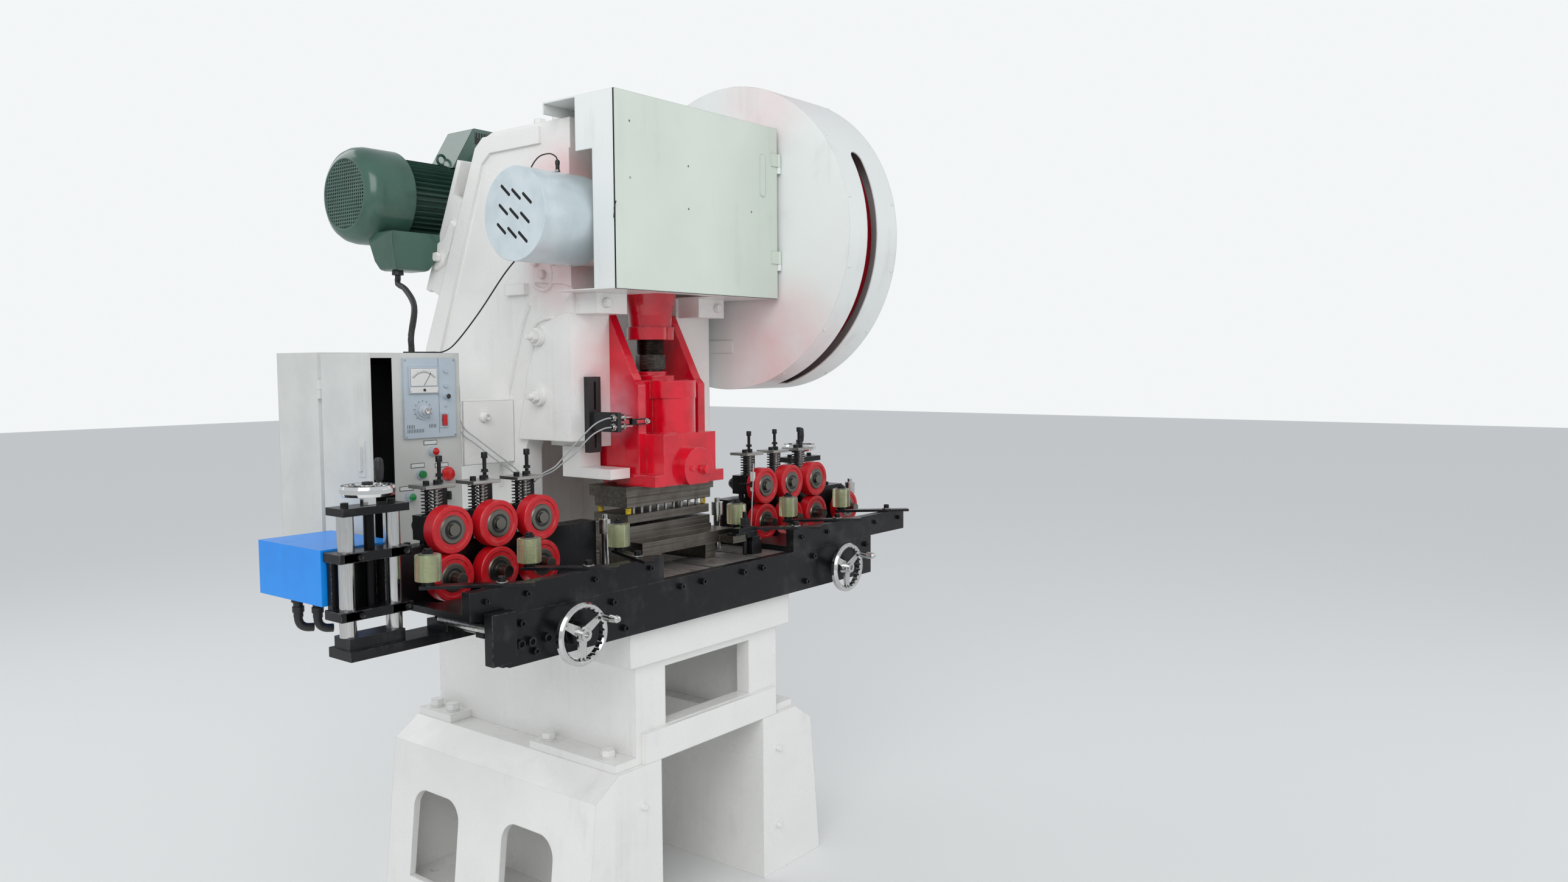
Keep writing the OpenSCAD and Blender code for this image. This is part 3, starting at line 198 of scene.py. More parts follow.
def blendNumber(tree, amount, a, b):
    node = place(tree, "ShaderNodeMix", data_type="FLOAT")
    feedAll(tree, node, {"Factor": amount, 2: a, 3: b})
    return node.outputs[0]


# One color laid over another where a mask shows, with a share of its strength
def laid(tree, mask, share, under, over):
    return blendColor(tree, times(tree, mask, share), under, over)


def stretched(tree, where, scale):
    node = place(tree, "ShaderNodeVectorMath", operation="MULTIPLY")
    feedAll(tree, node, {0: where, 1: scale})
    return node.outputs[0]


def newGroup(name, inputs, outputs):
    tree = bpy.data.node_groups.new(name, "ShaderNodeTree")
    for label, kind, value in inputs:
        socket = tree.interface.new_socket(name=label, in_out="INPUT", socket_type=kind)
        if value is not None:
            socket.default_value = value
    for label, kind in outputs:
        tree.interface.new_socket(name=label, in_out="OUTPUT", socket_type=kind)
    start, end = tree.nodes.new("NodeGroupInput"), tree.nodes.new("NodeGroupOutput")
    return tree, start.outputs, end.inputs


def useGroup(tree, group, **values):
    node = place(tree, "ShaderNodeGroup", node_tree=group)
    feedAll(tree, node, values)
    return node.outputs


number, vector = "NodeSocketFloat", "NodeSocketVector"


def makeEdgeGroup():
    tree, given, out = newGroup("roundedEdges",
        [("Radius", number, 0.002), ("Where", vector, None), ("Break Up", number, 40.0)],
        [("Normal", vector), ("Mask", number)])
    bevel = place(tree, "ShaderNodeBevel", samples=4)
    tree.links.new(given["Radius"], bevel.inputs["Radius"])
    flat = place(tree, "ShaderNodeNewGeometry")
    dot = place(tree, "ShaderNodeVectorMath", operation="DOT_PRODUCT")
    tree.links.new(bevel.outputs[0], dot.inputs[0])
    tree.links.new(flat.outputs["Normal"], dot.inputs[1])
    edge = spread(tree, dot.outputs["Value"], 0.995, 0.86)
    patches = spread(tree, noise(tree, given["Where"], given["Break Up"], 4.0, 0.65), 0.42, 0.62)
    tree.links.new(bevel.outputs[0], out["Normal"])
    tree.links.new(times(tree, edge, patches), out["Mask"])
    return tree


def makeCastGroup():
    tree, given, out = newGroup("castSurface",
        [("Where", vector, None), ("Lump Scale", number, 9.0), ("Grain Scale", number, 160.0),
            ("Grain", number, 0.3)],
        [("Height", number), ("Mask", number)])
    lumps = noise(tree, given["Where"], given["Lump Scale"], 5.0, 0.55)
    grain = noise(tree, given["Where"], given["Grain Scale"], 3.0, 0.6)
    mixed = blendNumber(tree, given["Grain"], lumps, grain)
    tree.links.new(mixed, out["Height"])
    tree.links.new(spread(tree, lumps, 0.35, 0.68), out["Mask"])
    return tree


def makeGrimeGroup():
    tree, given, out = newGroup("shopGrime",
        [("Where", vector, None), ("Scale", number, 5.0), ("Low", number, 0.5), ("High", number, 0.75),
        ("Streaks", number, 0.4)],
        [("Mask", number)])
    patches = noise(tree, given["Where"], given["Scale"], 6.0, 0.62, 0.3)
    drips = noise(tree, stretched(tree, given["Where"], (34.0, 34.0, 1.6)), 1.0, 3.0, 0.6)
    mixed = blendNumber(tree, given["Streaks"], patches, drips)
    tree.links.new(spread(tree, mixed, given["Low"], given["High"]), out["Mask"])
    return tree


def makeBrushGroup():
    tree, given, out = newGroup("brushedLines",
        [("Where", vector, None), ("Along", vector, (2.0, 400.0, 400.0))],
        [("Height", number), ("Mask", number)])
    lines = noise(tree, stretched(tree, given["Where"], given["Along"]), 1.0, 2.0, 0.6)
    tree.links.new(lines, out["Height"])
    tree.links.new(spread(tree, lines, 0.35, 0.65), out["Mask"])
    return tree


def makePeelGroup():
    tree, given, out = newGroup("orangePeel",
        [("Where", vector, None), ("Scale", number, 300.0)], [("Height", number)])
    cells = place(tree, "ShaderNodeTexVoronoi", feature="SMOOTH_F1")
    tree.links.new(given["Where"], cells.inputs["Vector"])
    tree.links.new(given["Scale"], cells.inputs["Scale"])
    tree.links.new(cells.outputs["Distance"], out["Height"])
    return tree


edgeGroup, castGroup, grimeGroup, brushGroup, peelGroup = (
    makeEdgeGroup(), makeCastGroup(), makeGrimeGroup(), makeBrushGroup(), makePeelGroup())


def wornEdges(tree, where, radius, breakUp):
    return useGroup(tree, edgeGroup, Radius=radius, Where=where, **{"Break Up": breakUp})


def castSkin(tree, where, lumps, grains, share):
    return useGroup(tree, castGroup, Where=where, **{"Lump Scale": lumps, "Grain Scale": grains,
        "Grain": share})


def grimeOver(tree, where, scale, low, high, streaks):
    return useGroup(tree, grimeGroup, Where=where, Scale=scale, Low=low, High=high, Streaks=streaks)


def newMaterial(name):
    material = bpy.data.materials.new(name)
    material.use_nodes = True
    tree = material.node_tree
    where = place(tree, "ShaderNodeTexCoord").outputs["Object"]
    return material, tree, tree.nodes["Principled BSDF"], where


# Puts a color, a roughness, a height and a normal on the shader
def finishSurface(tree, shader, color, roughness,
        height=None, bump=0.2, depth=0.001, normal=None, metallic=0.0, **constants):
    feedAll(tree, shader, {"Base Color": color, "Roughness": roughness, "Metallic": metallic})
    if height is not None:
        node = place(tree, "ShaderNodeBump")
        node.inputs["Strength"].default_value = bump
        node.inputs["Distance"].default_value = depth
        tree.links.new(height, node.inputs["Height"])
        if normal is not None:
            tree.links.new(normal, node.inputs["Normal"])
        normal = node.outputs["Normal"]
    if normal is not None:
        tree.links.new(normal, shader.inputs["Normal"])
    for socket, value in constants.items():
        shader.inputs[socket.replace("_", " ")].default_value = value


# Where each part of the object lies along X, Y and Z
def splitPlace(tree, where):
    split = place(tree, "ShaderNodeSeparateXYZ")
    tree.links.new(where, split.inputs[0])
    return split.outputs


def nearPoint(tree, where, centre, near, far):
    node = place(tree, "ShaderNodeVectorMath", operation="DISTANCE")
    feedAll(tree, node, {0: where, 1: centre})
    return spread(tree, node.outputs["Value"], far, near)


# One dictionary of values for each name, from rows in the order of the keys
def table(keys, rows):
    return {name: dict(zip(keys.split(), values)) for name, *values in rows}


# pink: mist of the red paint on the white, as centre, reach and strength
paints = table("color worn grime rough lumps bump pink", (
    ("doorPaint", (0.67, 0.735, 0.655), (0.55, 0.6, 0.54), (0.42, 0.43, 0.38), 0.3, 3.0, 0.12, ()),
    ("framePaint", (0.88, 0.875, 0.85), (0.7, 0.67, 0.62), (0.44, 0.41, 0.36), 0.24, 7.0, 0.55,
        (((-0.16, -0.27, 1.62), 0.2, 1.0), ((-0.17, -0.3, 1.4), 0.15, 1.0), ((-0.29, -0.16, 2.06), 0.27, 0.9),
            ((-0.29, -0.1, 1.88), 0.16, 0.6), ((0.1, -0.2, 1.5), 0.2, 0.5))),
    ("guardPaint", (0.84, 0.865, 0.85), (0.6, 0.62, 0.6), (0.42, 0.42, 0.4), 0.28, 3.5, 0.16,
        (((0.36, -0.36, 2.44), 0.24, 0.35), ((0.36, -0.42, 1.66), 0.3, 0.55),
            ((-0.33, -0.21, 1.86), 0.14, 0.5))),
))


def makePaint(name, v):
    material, tree, shader, where = newMaterial(name)
    edges = wornEdges(tree, where, radius=0.004, breakUp=22.0)
    cast = castSkin(tree, where, lumps=v["lumps"], grains=120.0, share=0.18)
    grime = grimeOver(tree, where, scale=4.0, low=0.52, high=0.78, streaks=0.35)
    color = laid(tree, cast["Mask"], 0.28, v["color"], tuple(c * 0.90 for c in v["color"]))
    for centre, reach, strength in v["pink"]:
        near = nearPoint(tree, where, centre, reach * 0.2, reach)
        mist = times(tree, near, noise(tree, where, 9.0, 4.0, 0.6))
        color = laid(tree, mist, strength, color, (0.84, 0.28, 0.30))
    color = laid(tree, grime["Mask"], 0.28, color, v["grime"])
    color = laid(tree, edges["Mask"], 0.5, color, v["worn"])
    rough = blendNumber(tree, cast["Mask"], v["rough"], v["rough"] + 0.16)
    finishSurface(tree, shader, color, rough, cast["Height"], v["bump"], 0.004, edges["Normal"],
        Coat_Weight=0.25, Coat_Roughness=0.12)
    return material


ramPaint = {
    "color": (0.74, 0.004, 0.024), "dark": (0.60, 0.003, 0.018),
    "edgeHighlight": (0.86, 0.22, 0.28), "oil": (0.20, 0.006, 0.012),
    "mist": (0.86, 0.42, 0.50), "mistSpot": (-0.17, -0.20, 1.50), "mistNear": 0.02, "mistFar": 0.13,
}


def makeRamPaint(v):
    material, tree, shader, where = newMaterial("ramRed")
    edges = wornEdges(tree, where, radius=0.005, breakUp=26.0)
    cast = castSkin(tree, where, lumps=16.0, grains=140.0, share=0.1)
    grime = grimeOver(tree, where, scale=7.0, low=0.55, high=0.75, streaks=0.55)
    color = blendColor(tree, cast["Mask"], v["color"], v["dark"])
    color = laid(tree, grime["Mask"], 0.22, color, v["oil"])
    near = nearPoint(tree, where, v["mistSpot"], v["mistNear"], v["mistFar"])
    mist = times(tree, near, noise(tree, where, 11.0, 4.0, 0.6))
    color = blendColor(tree, times(tree, mist, 1.1, True), color, v["mist"])
    # Painted highlight: a lighter pink laid on patches along the ram's rounded edges
    color = laid(tree, edges["Mask"], 0.45, color, v["edgeHighlight"])
    rough = blendNumber(tree, grime["Mask"], 0.16, 0.34)
    finishSurface(tree, shader, color, rough, cast["Height"], 0.7, 0.005, edges["Normal"],
        Coat_Weight=0.6, Coat_Roughness=0.06)
    return material


# Feed roller: red tyre, ground hub, dark seal and turned shaft, by the distance from the axis
def makeRollerRed(name, axles, rims):
    material, tree, shader, where = newMaterial(name)
    spot = splitPlace(tree, where)
    nearest = None
    for x, z in axles:
        dx = sums(tree, "SUBTRACT", spot["X"], x)
        dz = sums(tree, "SUBTRACT", spot["Z"], z)
        away = sums(tree, "SQRT", sums(tree, "ADD", times(tree, dx, dx), times(tree, dz, dz)))
        nearest = away if nearest is None else sums(tree, "MINIMUM", nearest, away)
    tyre = spread(tree, nearest, rims["hub"], rims["hub"] + 0.0006)
    darkBand = times(tree, spread(tree, nearest, rims["sealIn"], rims["sealIn"] + 0.0005),
        spread(tree, nearest, rims["sealOut"] + 0.0005, rims["sealOut"]))
    edges = wornEdges(tree, where, radius=0.0015, breakUp=60.0)
    dust = grimeOver(tree, where, scale=26.0, low=0.5, high=0.8, streaks=0.1)
    turned = place(tree, "ShaderNodeTexNoise", noise_dimensions="1D")
    turned.inputs["Scale"].default_value = 1.0
    turned.inputs["Detail"].default_value = 2.0
    tree.links.new(times(tree, nearest, 1500.0), turned.inputs["W"])
    red = laid(tree, dust["Mask"], 0.25, (0.60, 0.006, 0.014), (0.62, 0.20, 0.20))
    red = laid(tree, edges["Mask"], 0.65, red, (0.80, 0.36, 0.38))
    steel = blendColor(tree, turned.outputs["Fac"], (0.11, 0.103, 0.090), (0.26, 0.245, 0.215))
    color = blendColor(tree, tyre, blendColor(tree, darkBand, steel, (0.012, 0.012, 0.012)), red)
    rough = blendNumber(tree, tyre, 0.34, blendNumber(tree, dust["Mask"], 0.36, 0.55))
    metal = times(tree, sums(tree, "SUBTRACT", 1.0, tyre), sums(tree, "SUBTRACT", 1.0, darkBand))
    finishSurface(tree, shader, color, rough, turned.outputs["Fac"], 0.08, 0.0004, edges["Normal"], metal)
    return material


metals = table("light dark grime rough along bump stain", (
    ("threadSteel", (0.085, 0.075, 0.066), (0.04, 0.036, 0.032), (0.02, 0.014, 0.01),
        0.3, (60, 60, 300), 0.1, 0.5),
    ("machinedSteel", (0.56, 0.55, 0.53), (0.34, 0.33, 0.31), (0.16, 0.13, 0.1),
        0.3, (6, 300, 300), 0.1, 0.3),
    ("dieSteel", (0.2, 0.182, 0.16), (0.125, 0.112, 0.098), (0.06, 0.046, 0.034),
        0.34, (2, 120, 260), 0.06, 0.5),
    ("springSteel", (0.3, 0.3, 0.3), (0.1, 0.1, 0.1), (0.03, 0.03, 0.03), 0.32, (200, 200, 200), 0.05, 0.2),
    ("tableIron", (0.66, 0.645, 0.62), (0.42, 0.4, 0.38), (0.1, 0.08, 0.06), 0.46, (120, 5, 300), 0.2, 0.8),
    ("chromedSteel", (0.66, 0.66, 0.65), (0.54, 0.54, 0.53), (0.42, 0.4, 0.37),
        0.14, (500, 500, 14), 0.015, 0.1),
    ("screwSteel", (0.62, 0.61, 0.58), (0.4, 0.39, 0.37), (0.14, 0.12, 0.1), 0.28, (90, 90, 90), 0.08, 0.35),
))


def makeMetal(name, v):
    material, tree, shader, where = newMaterial(name)
    edges = wornEdges(tree, where, radius=0.0018, breakUp=45.0)
    lines = useGroup(tree, brushGroup, Where=where, Along=v["along"])
    stain = grimeOver(tree, where, scale=14.0, low=0.44, high=0.72, streaks=0.15)
    color = blendColor(tree, lines["Mask"], v["dark"], v["light"])
    color = laid(tree, stain["Mask"], v["stain"], color, v["grime"])
    color = laid(tree, edges["Mask"], 0.6, color, tuple(min(1.0, c * 1.35) for c in v["light"]))
    rough = blendNumber(tree, stain["Mask"], v["rough"], v["rough"] + 0.2)
    finishSurface(tree, shader, color, rough, lines["Height"], v["bump"], 0.0006, edges["Normal"], 1.0)
    return material


blacks = table("base dust bare rough metal", (
    ("blackOxide", (0.012, 0.012, 0.014), (0.1, 0.098, 0.095), (0.34, 0.33, 0.32), 0.3, 0.55),
    ("blackPlastic", (0.014, 0.014, 0.015), (0.09, 0.09, 0.088), (0.05, 0.05, 0.05), 0.42, 0.0),
    # Painted shade: near-black for the brake slot faces and the gap round the door
    ("paintedShadeBlack", (0.004, 0.004, 0.005), (0.012, 0.012, 0.012), (0.01, 0.01, 0.01), 0.8, 0.0),
    ("beltRubber", (0.018, 0.018, 0.018), (0.12, 0.115, 0.11), (0.05, 0.05, 0.05), 0.62, 0.0),
))


def makeBlack(name, v):
    material, tree, shader, where = newMaterial(name)
    edges = wornEdges(tree, where, radius=0.0015, breakUp=70.0)
    dust = grimeOver(tree, where, scale=11.0, low=0.50, high=0.82, streaks=0.2)
    grain = castSkin(tree, where, lumps=60.0, grains=420.0, share=0.5)
    color = laid(tree, dust["Mask"], 0.5, v["base"], v["dust"])
    color = laid(tree, edges["Mask"], 0.45, color, v["bare"])
    rough = blendNumber(tree, dust["Mask"], v["rough"], v["rough"] + 0.25)
    finishSurface(tree, shader, color, rough, grain["Height"], 0.12, 0.0005, edges["Normal"], v["metal"])
    return material


enamels = table("color shade grime rough peel wear", (
    ("motorGreen", (0.052, 0.128, 0.096), (0.036, 0.096, 0.07), (0.12, 0.15, 0.12), 0.2, 170.0, 0.25),
    ("flywheelRed", (0.55, 0.008, 0.022), (0.42, 0.006, 0.018), (0.05, 0.02, 0.02), 0.42, 120.0, 0.2),
    ("coverBlue", (0.0, 0.285, 0.9), (0.0, 0.255, 0.84), (0.03, 0.2, 0.5), 0.42, 420.0, 0.15),
    ("cabinetGrey", (0.66, 0.67, 0.64), (0.6, 0.61, 0.585), (0.42, 0.41, 0.37), 0.4, 520.0, 0.3),
    ("panelBlueGrey", (0.52, 0.6, 0.67), (0.47, 0.55, 0.62), (0.38, 0.4, 0.42), 0.32, 300.0, 0.1),
    ("springYellow", (0.8, 0.58, 0.01), (0.62, 0.42, 0.01), (0.2, 0.14, 0.04), 0.35, 300.0, 0.2),
    ("redPlastic", (0.66, 0.006, 0.008), (0.5, 0.004, 0.006), (0.3, 0.05, 0.05), 0.22, 200.0, 0.1),
    ("greenPlastic", (0.012, 0.3, 0.07), (0.01, 0.22, 0.05), (0.05, 0.16, 0.08), 0.22, 200.0, 0.1),
    ("dialWhite", (0.8, 0.81, 0.79), (0.76, 0.77, 0.75), (0.6, 0.6, 0.57), 0.35, 200.0, 0.0),
    ("brakePaint", (0.66, 0.74, 0.77), (0.54, 0.63, 0.66), (0.42, 0.46, 0.46), 0.26, 60.0, 0.3),
    ("knobGrey", (0.64, 0.69, 0.73), (0.58, 0.63, 0.67), (0.4, 0.42, 0.44), 0.3, 200.0, 0.2),
    ("wireGrey", (0.44, 0.45, 0.45), (0.36, 0.37, 0.37), (0.22, 0.22, 0.21), 0.5, 200.0, 0.0),
    ("linkWhite", (0.84, 0.84, 0.82), (0.78, 0.78, 0.76), (0.5, 0.48, 0.44), 0.3, 200.0, 0.1),
))


def makeEnamel(name, v):
    material, tree, shader, where = newMaterial(name)
    edges = wornEdges(tree, where, radius=0.0022, breakUp=30.0)
    peel = useGroup(tree, peelGroup, Where=where, Scale=v["peel"])
    cast = castSkin(tree, where, lumps=8.0, grains=90.0, share=0.3)
    grime = grimeOver(tree, where, scale=6.0, low=0.54, high=0.80, streaks=0.3)
    color = blendColor(tree, cast["Mask"], v["color"], v["shade"])
    color = laid(tree, grime["Mask"], 0.4, color, v["grime"])
    color = laid(tree, edges["Mask"], v["wear"], color, tuple(min(1.0, c * 1.3 + 0.08) for c in v["color"]))
    rough = blendNumber(tree, grime["Mask"], v["rough"], v["rough"] + 0.2)
    finishSurface(tree, shader, color, rough, peel["Height"], 0.05, 0.0006, edges["Normal"],
        Coat_Weight=0.2, Coat_Roughness=0.15)
    return material


def makePolyurethane():
    material, tree, shader, where = newMaterial("clearPolyurethane")
    cloud = noise(tree, where, 14.0, 3.0, 0.5)
    color = blendColor(tree, cloud, (0.80, 0.84, 0.58), (0.70, 0.76, 0.48))
    rough = spread(tree, cloud, 0.3, 0.7, 0.10, 0.22)
    finishSurface(tree, shader, color, rough, cloud, 0.03, 0.0008, Transmission_Weight=0.78, IOR=1.40,
        Subsurface_Weight=0.15, Subsurface_Scale=0.02)
    return material


# Lift screw: chromed wheel, black grip over it and a dark screw under it, told apart by the height
def makeLiftChrome(name, low, high):
    material, tree, shader, where = newMaterial(name)
    height = splitPlace(tree, where)["Z"]
    edges = wornEdges(tree, where, radius=0.0015, breakUp=60.0)
    dust = grimeOver(tree, where, scale=20.0, low=0.5, high=0.8, streaks=0.1)
    chrome = times(tree, spread(tree, height, low, low + 0.0004), spread(tree, height, high + 0.0004, high))
    bright = laid(tree, dust["Mask"], 0.3, (0.80, 0.80, 0.79), (0.45, 0.43, 0.40))
    black = laid(tree, edges["Mask"], 0.3, (0.014, 0.014, 0.015), (0.10, 0.10, 0.10))
    above = spread(tree, height, high, high + 0.0004)
    metal = sums(tree, "SUBTRACT", 1.0, above)
    color = blendColor(tree, chrome, black, bright)
    rough = blendNumber(tree, chrome, 0.36, 0.11)
    finishSurface(tree, shader, color, rough, normal=edges["Normal"], metallic=metal)
    return material


# Cabinet: grey outside, unlit inside
def makeCabinetPaint(v, box):
    material = makeEnamel("cabinetShell", v)
    tree = material.node_tree
    shader = tree.nodes["Principled BSDF"]
    outside = shader.inputs["Base Color"].links[0].from_socket
    where = place(tree, "ShaderNodeTexCoord").outputs["Object"]
    spot = splitPlace(tree, where)
    inside = None
    for axis in "XYZ":
        low, high = box[axis]
        above = sums(tree, "GREATER_THAN", spot[axis], low)
        within = times(tree, above, sums(tree, "LESS_THAN", spot[axis], high))
        inside = within if inside is None else times(tree, inside, within)
    shadow = blendColor(tree, noise(tree, where, 12.0), (0.012, 0.012, 0.013), (0.030, 0.030, 0.031))
    tree.links.new(blendColor(tree, inside, outside, shadow), shader.inputs["Base Color"])
    return material


finish = {name: makePaint(name, v) for name, v in paints.items()}
finish["ramRed"] = makeRamPaint(ramPaint)
finish.update({name: makeMetal(name, v) for name, v in metals.items()})
finish.update({name: makeBlack(name, v) for name, v in blacks.items()})
finish.update({name: makeEnamel(name, v) for name, v in enamels.items()})
finish["clearPolyurethane"] = makePolyurethane()
liftBands = {"leftLiftChrome": (1.3005, 1.3475), "rightLiftChrome": (1.2725, 1.3195)}
finish.update({name: makeLiftChrome(name, *band) for name, band in liftBands.items()})
cabinetInside = {"X": (-0.9045, -0.4745), "Y": (0.0915, 0.2885), "Z": (1.0565, 1.6535)}
finish["cabinetShell"] = makeCabinetPaint(enamels["cabinetGrey"], cabinetInside)
rollerRims = {"hub": 0.0365, "sealIn": 0.0175, "sealOut": 0.0245}
rollPlaces = [first + 141 * i for first in (-775, 464) for i in range(3)]  # millimetres, left to right
rollRows = (1.213, 1.0927)  # heights of the upper and the lower axles
wheelPlace = 0.940  # the single wheel at the right end
rollerAxles = {f"{row}_roller_{i + 1}": [(rollPlaces[i] / 1000, z)]
    for row, z in zip(("upper", "lower"), rollRows) for i in range(3)}
rollerAxles["right_rollers"] = [(x / 1000, z) for x in rollPlaces[3:] for z in rollRows]
rollerAxles["right_rollers"].append((wheelPlace, rollRows[1]))
for node, axles in rollerAxles.items():
    finish[node] = makeRollerRed(node + "Red", axles, rollerRims)
print("stage: materials")

# Finishes on the CAD nodes
coats = {
    "framePaint": ("press_frame", "press_bed", "stand", "frame_bolts", "motor_plate"),
    "guardPaint": ("crank_cover", "brake_guard", "flywheel_guard"),
    "doorPaint": ("crank_cover_door",),
    "ramRed": ("ram", "shank_clamp", "connecting_rod", "big_end"),
    "flywheelRed": ("flywheel",),
    "motorGreen": ("drive_motor",),
    "coverBlue": ("blue_cover",),
    "cabinetGrey": ("cabinet_door",),
    "cabinetShell": ("cabinet",),
    "panelBlueGrey": ("control_panel",),
    "knobGrey": ("speed_knob",),
    "springYellow": ("stripper_springs",),
    "redPlastic": ("estop_button", "rocker_switch"),
    "greenPlastic": ("start_button",),
    "machinedSteel": ("crankshaft", "punches", "motor_rotor"),
    "threadSteel": ("ball_screw",),
    "dieSteel": ("upper_die", "lower_die", "stripper_plate"),
    "tableIron": ("bolster_plate",),
    "springSteel": ("press_springs",),
    "chromedSteel": ("front_wheel_left", "front_wheel_right", "lift_posts"),
    "leftLiftChrome": ("left_lift_screw",),
    "rightLiftChrome": ("right_lift_screw",),
    "blackOxide": ("beam_plate", "feed_channels", "beam_bolts", "left_base", "lift_bridges",
        "left_carriage", "right_carriage", "die_clamp", "guide_arms"),
    "blackPlastic": ("sensor_bar", "selector_knob"),
    "beltRubber": ("drive_belts", "motor_cable", "signal_cables"),
    "clearPolyurethane": ("guide_rollers",),
    **{node: (node,) for node in rollerAxles},
}


def dress(node, material):
    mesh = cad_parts[node].data
    if not mesh.materials:
        mesh.materials.append(material)
    for i in range(len(mesh.materials)):
        mesh.materials[i] = material


for coat, nodes in coats.items():
    for node in nodes:
        dress(node, finish[coat])
print("stage: CAD nodes dressed")


# Millimetres from the ram's axis to metres in the row frame
def onPress(x, y, z):
    return Vector((x / 1000, y / 1000 + ramY, z / 1000))


toTop, toFront, toRight = (0, 0, 1), (0, -1, 0), (1, 0, 0)
sharpTurn = 0.6  # radians, edges that turn more are sharp, or bevelled where a piece is softened


# Faces between rings of corners
def ringFaces(count, sides, closed=False):
    faces = []
    for i in range(count if closed else count - 1):
        here, ahead = i * sides, (i + 1) % count * sides
        for k in range(sides):
            after = (k + 1) % sides
            faces.append((here + k, here + after, ahead + after, ahead + k))
    return faces


# Smooth line through a list of points
def easedLine(points, steps=7):
    points = [Vector(p) for p in points]
    line = []
    for i in range(len(points) - 1):
        a, b, c, d = points[max(i - 1, 0)], points[i], points[i + 1], points[min(i + 2, len(points) - 1)]
        for k in range(steps):
            t = k / steps
            line.append(0.5 * (2 * b + (c - a) * t + (2 * a - 5 * b + 4 * c - d) * t * t
                + (3 * b - a - 3 * c + d) * t ** 3))
    return line + [points[-1]]


# Collects the corners and faces of one piece
class Shape:
    def __init__(self):
        self.corners, self.faces = [], []

    def add(self, corners, faces):
        start = len(self.corners)
        self.corners += [tuple(c) for c in corners]
        self.faces += [tuple(start + i for i in f) for f in faces]

    # Surface of revolution: outline holds (radius, along) pairs
    def turned(self, outline, place, axis, sides=24):
        axis = Vector(axis).normalized()
        a = axis.orthogonal().normalized()
        b = axis.cross(a)
        corners = []
        for radius, along in outline:
            for k in range(sides):
                t = 2 * pi * k / sides
                corners.append(Vector(place) + axis * along + (a * cos(t) + b * sin(t)) * radius)
        self.add(corners, ringFaces(len(outline), sides))

    # Round wire along a list of points
    def swept(self, line, radius, sides=8, closed=False):
        line = [Vector(p) for p in line]
        count = len(line)
        corners, last = [], None
        for i, p in enumerate(line):
            ahead = line[(i + 1) % count] if closed or i < count - 1 else p
            behind = line[i - 1] if closed or i > 0 else p
            along = (ahead - behind).normalized()
            side = along.orthogonal() if last is None else last - along * last.dot(along)
            side.normalize()
            last = side
            up = along.cross(side)
            turns = [2 * pi * k / sides for k in range(sides)]
            corners += [p + (side * cos(t) + up * sin(t)) * radius for t in turns]
        faces = ringFaces(count, sides, closed)
        if not closed:
            faces += [tuple(range(sides - 1, -1, -1)), tuple((count - 1) * sides + k for k in range(sides))]
        self.add(corners, faces)

    # Box between two corners, in millimetres on the press
    def slab(self, low, high):
        (x0, y0, z0), (x1, y1, z1) = onPress(*low), onPress(*high)
        self.add([(x, y, z) for z in (z0, z1) for x, y in ((x0, y0), (x1, y0), (x1, y1), (x0, y1))],
            [(0, 3, 2, 1), (4, 5, 6, 7), (0, 1, 5, 4), (1, 2, 6, 5), (2, 3, 7, 6), (3, 0, 4, 7)])

    # Round bolt head, with a socket or domed
    def bolt(self, place, out, size, height, recess=True):
        if recess:
            outline = [(0, height * 0.45), (size * 0.27, height * 0.45), (size * 0.30, height * 0.98),
                (size * 0.46, height), (size * 0.5, height * 0.93), (size * 0.5, 0), (0, 0)]
        else:
            outline = [(0, height), (size * 0.30, height * 0.96), (size * 0.46, height * 0.62),
                (size * 0.5, 0.0), (0, 0)]
        self.turned(outline, place, out, 20)

    def piece(self, name, material, slot, soften=0.0, smooth=True, body="press"):
        mesh = bpy.data.meshes.new(name)
        mesh.from_pydata(self.corners, [], self.faces)
        work = bmesh.new()
        work.from_mesh(mesh)
        bmesh.ops.recalc_face_normals(work, faces=work.faces)
        if soften:
            edges = [e for e in work.edges if e.calc_face_angle(0) > sharpTurn]
            bmesh.ops.bevel(work, geom=edges, offset=soften, segments=2, affect="EDGES")
        for face in work.faces:
            face.smooth = smooth
        for edge in work.edges:
            edge.smooth = edge.calc_face_angle(0) < sharpTurn
        work.to_mesh(mesh)
        work.free()
        mesh.materials.append(finish[material])
        made = bpy.data.objects.new(name, mesh)
        bpy.context.scene.collection.objects.link(made)
        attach(made, body)
        return made


# Press springs over the upper rollers
pressSpring = {
    "coilRadius": 0.0122, "wire": 0.0018, "turns": 8.5, "low": 1244, "high": 1313,
    "offsets": (-20, 10), "depth": 4, "rod": 0.0045, "rodTall": 0.0688, "boltLow": 1321.2,
}
flatEnd = 0.06  # share of a spring's wire in each flat end turn


def coil(shape, centre, v, perTurn=20):
    low, high = v["low"] / 1000 + v["wire"], v["high"] / 1000 - v["wire"]
    steps = int(v["turns"] * perTurn)
    line = []
    for i in range(steps + 1):
        t = i / steps
        rise = min(1.0, max(0.0, (t - flatEnd) / (1 - 2 * flatEnd)))
        a, r = 2 * pi * v["turns"] * t, v["coilRadius"]
        line.append((centre[0] + r * cos(a), centre[1] + r * sin(a), low + (high - low) * rise))
    shape.swept(line, v["wire"], 8)


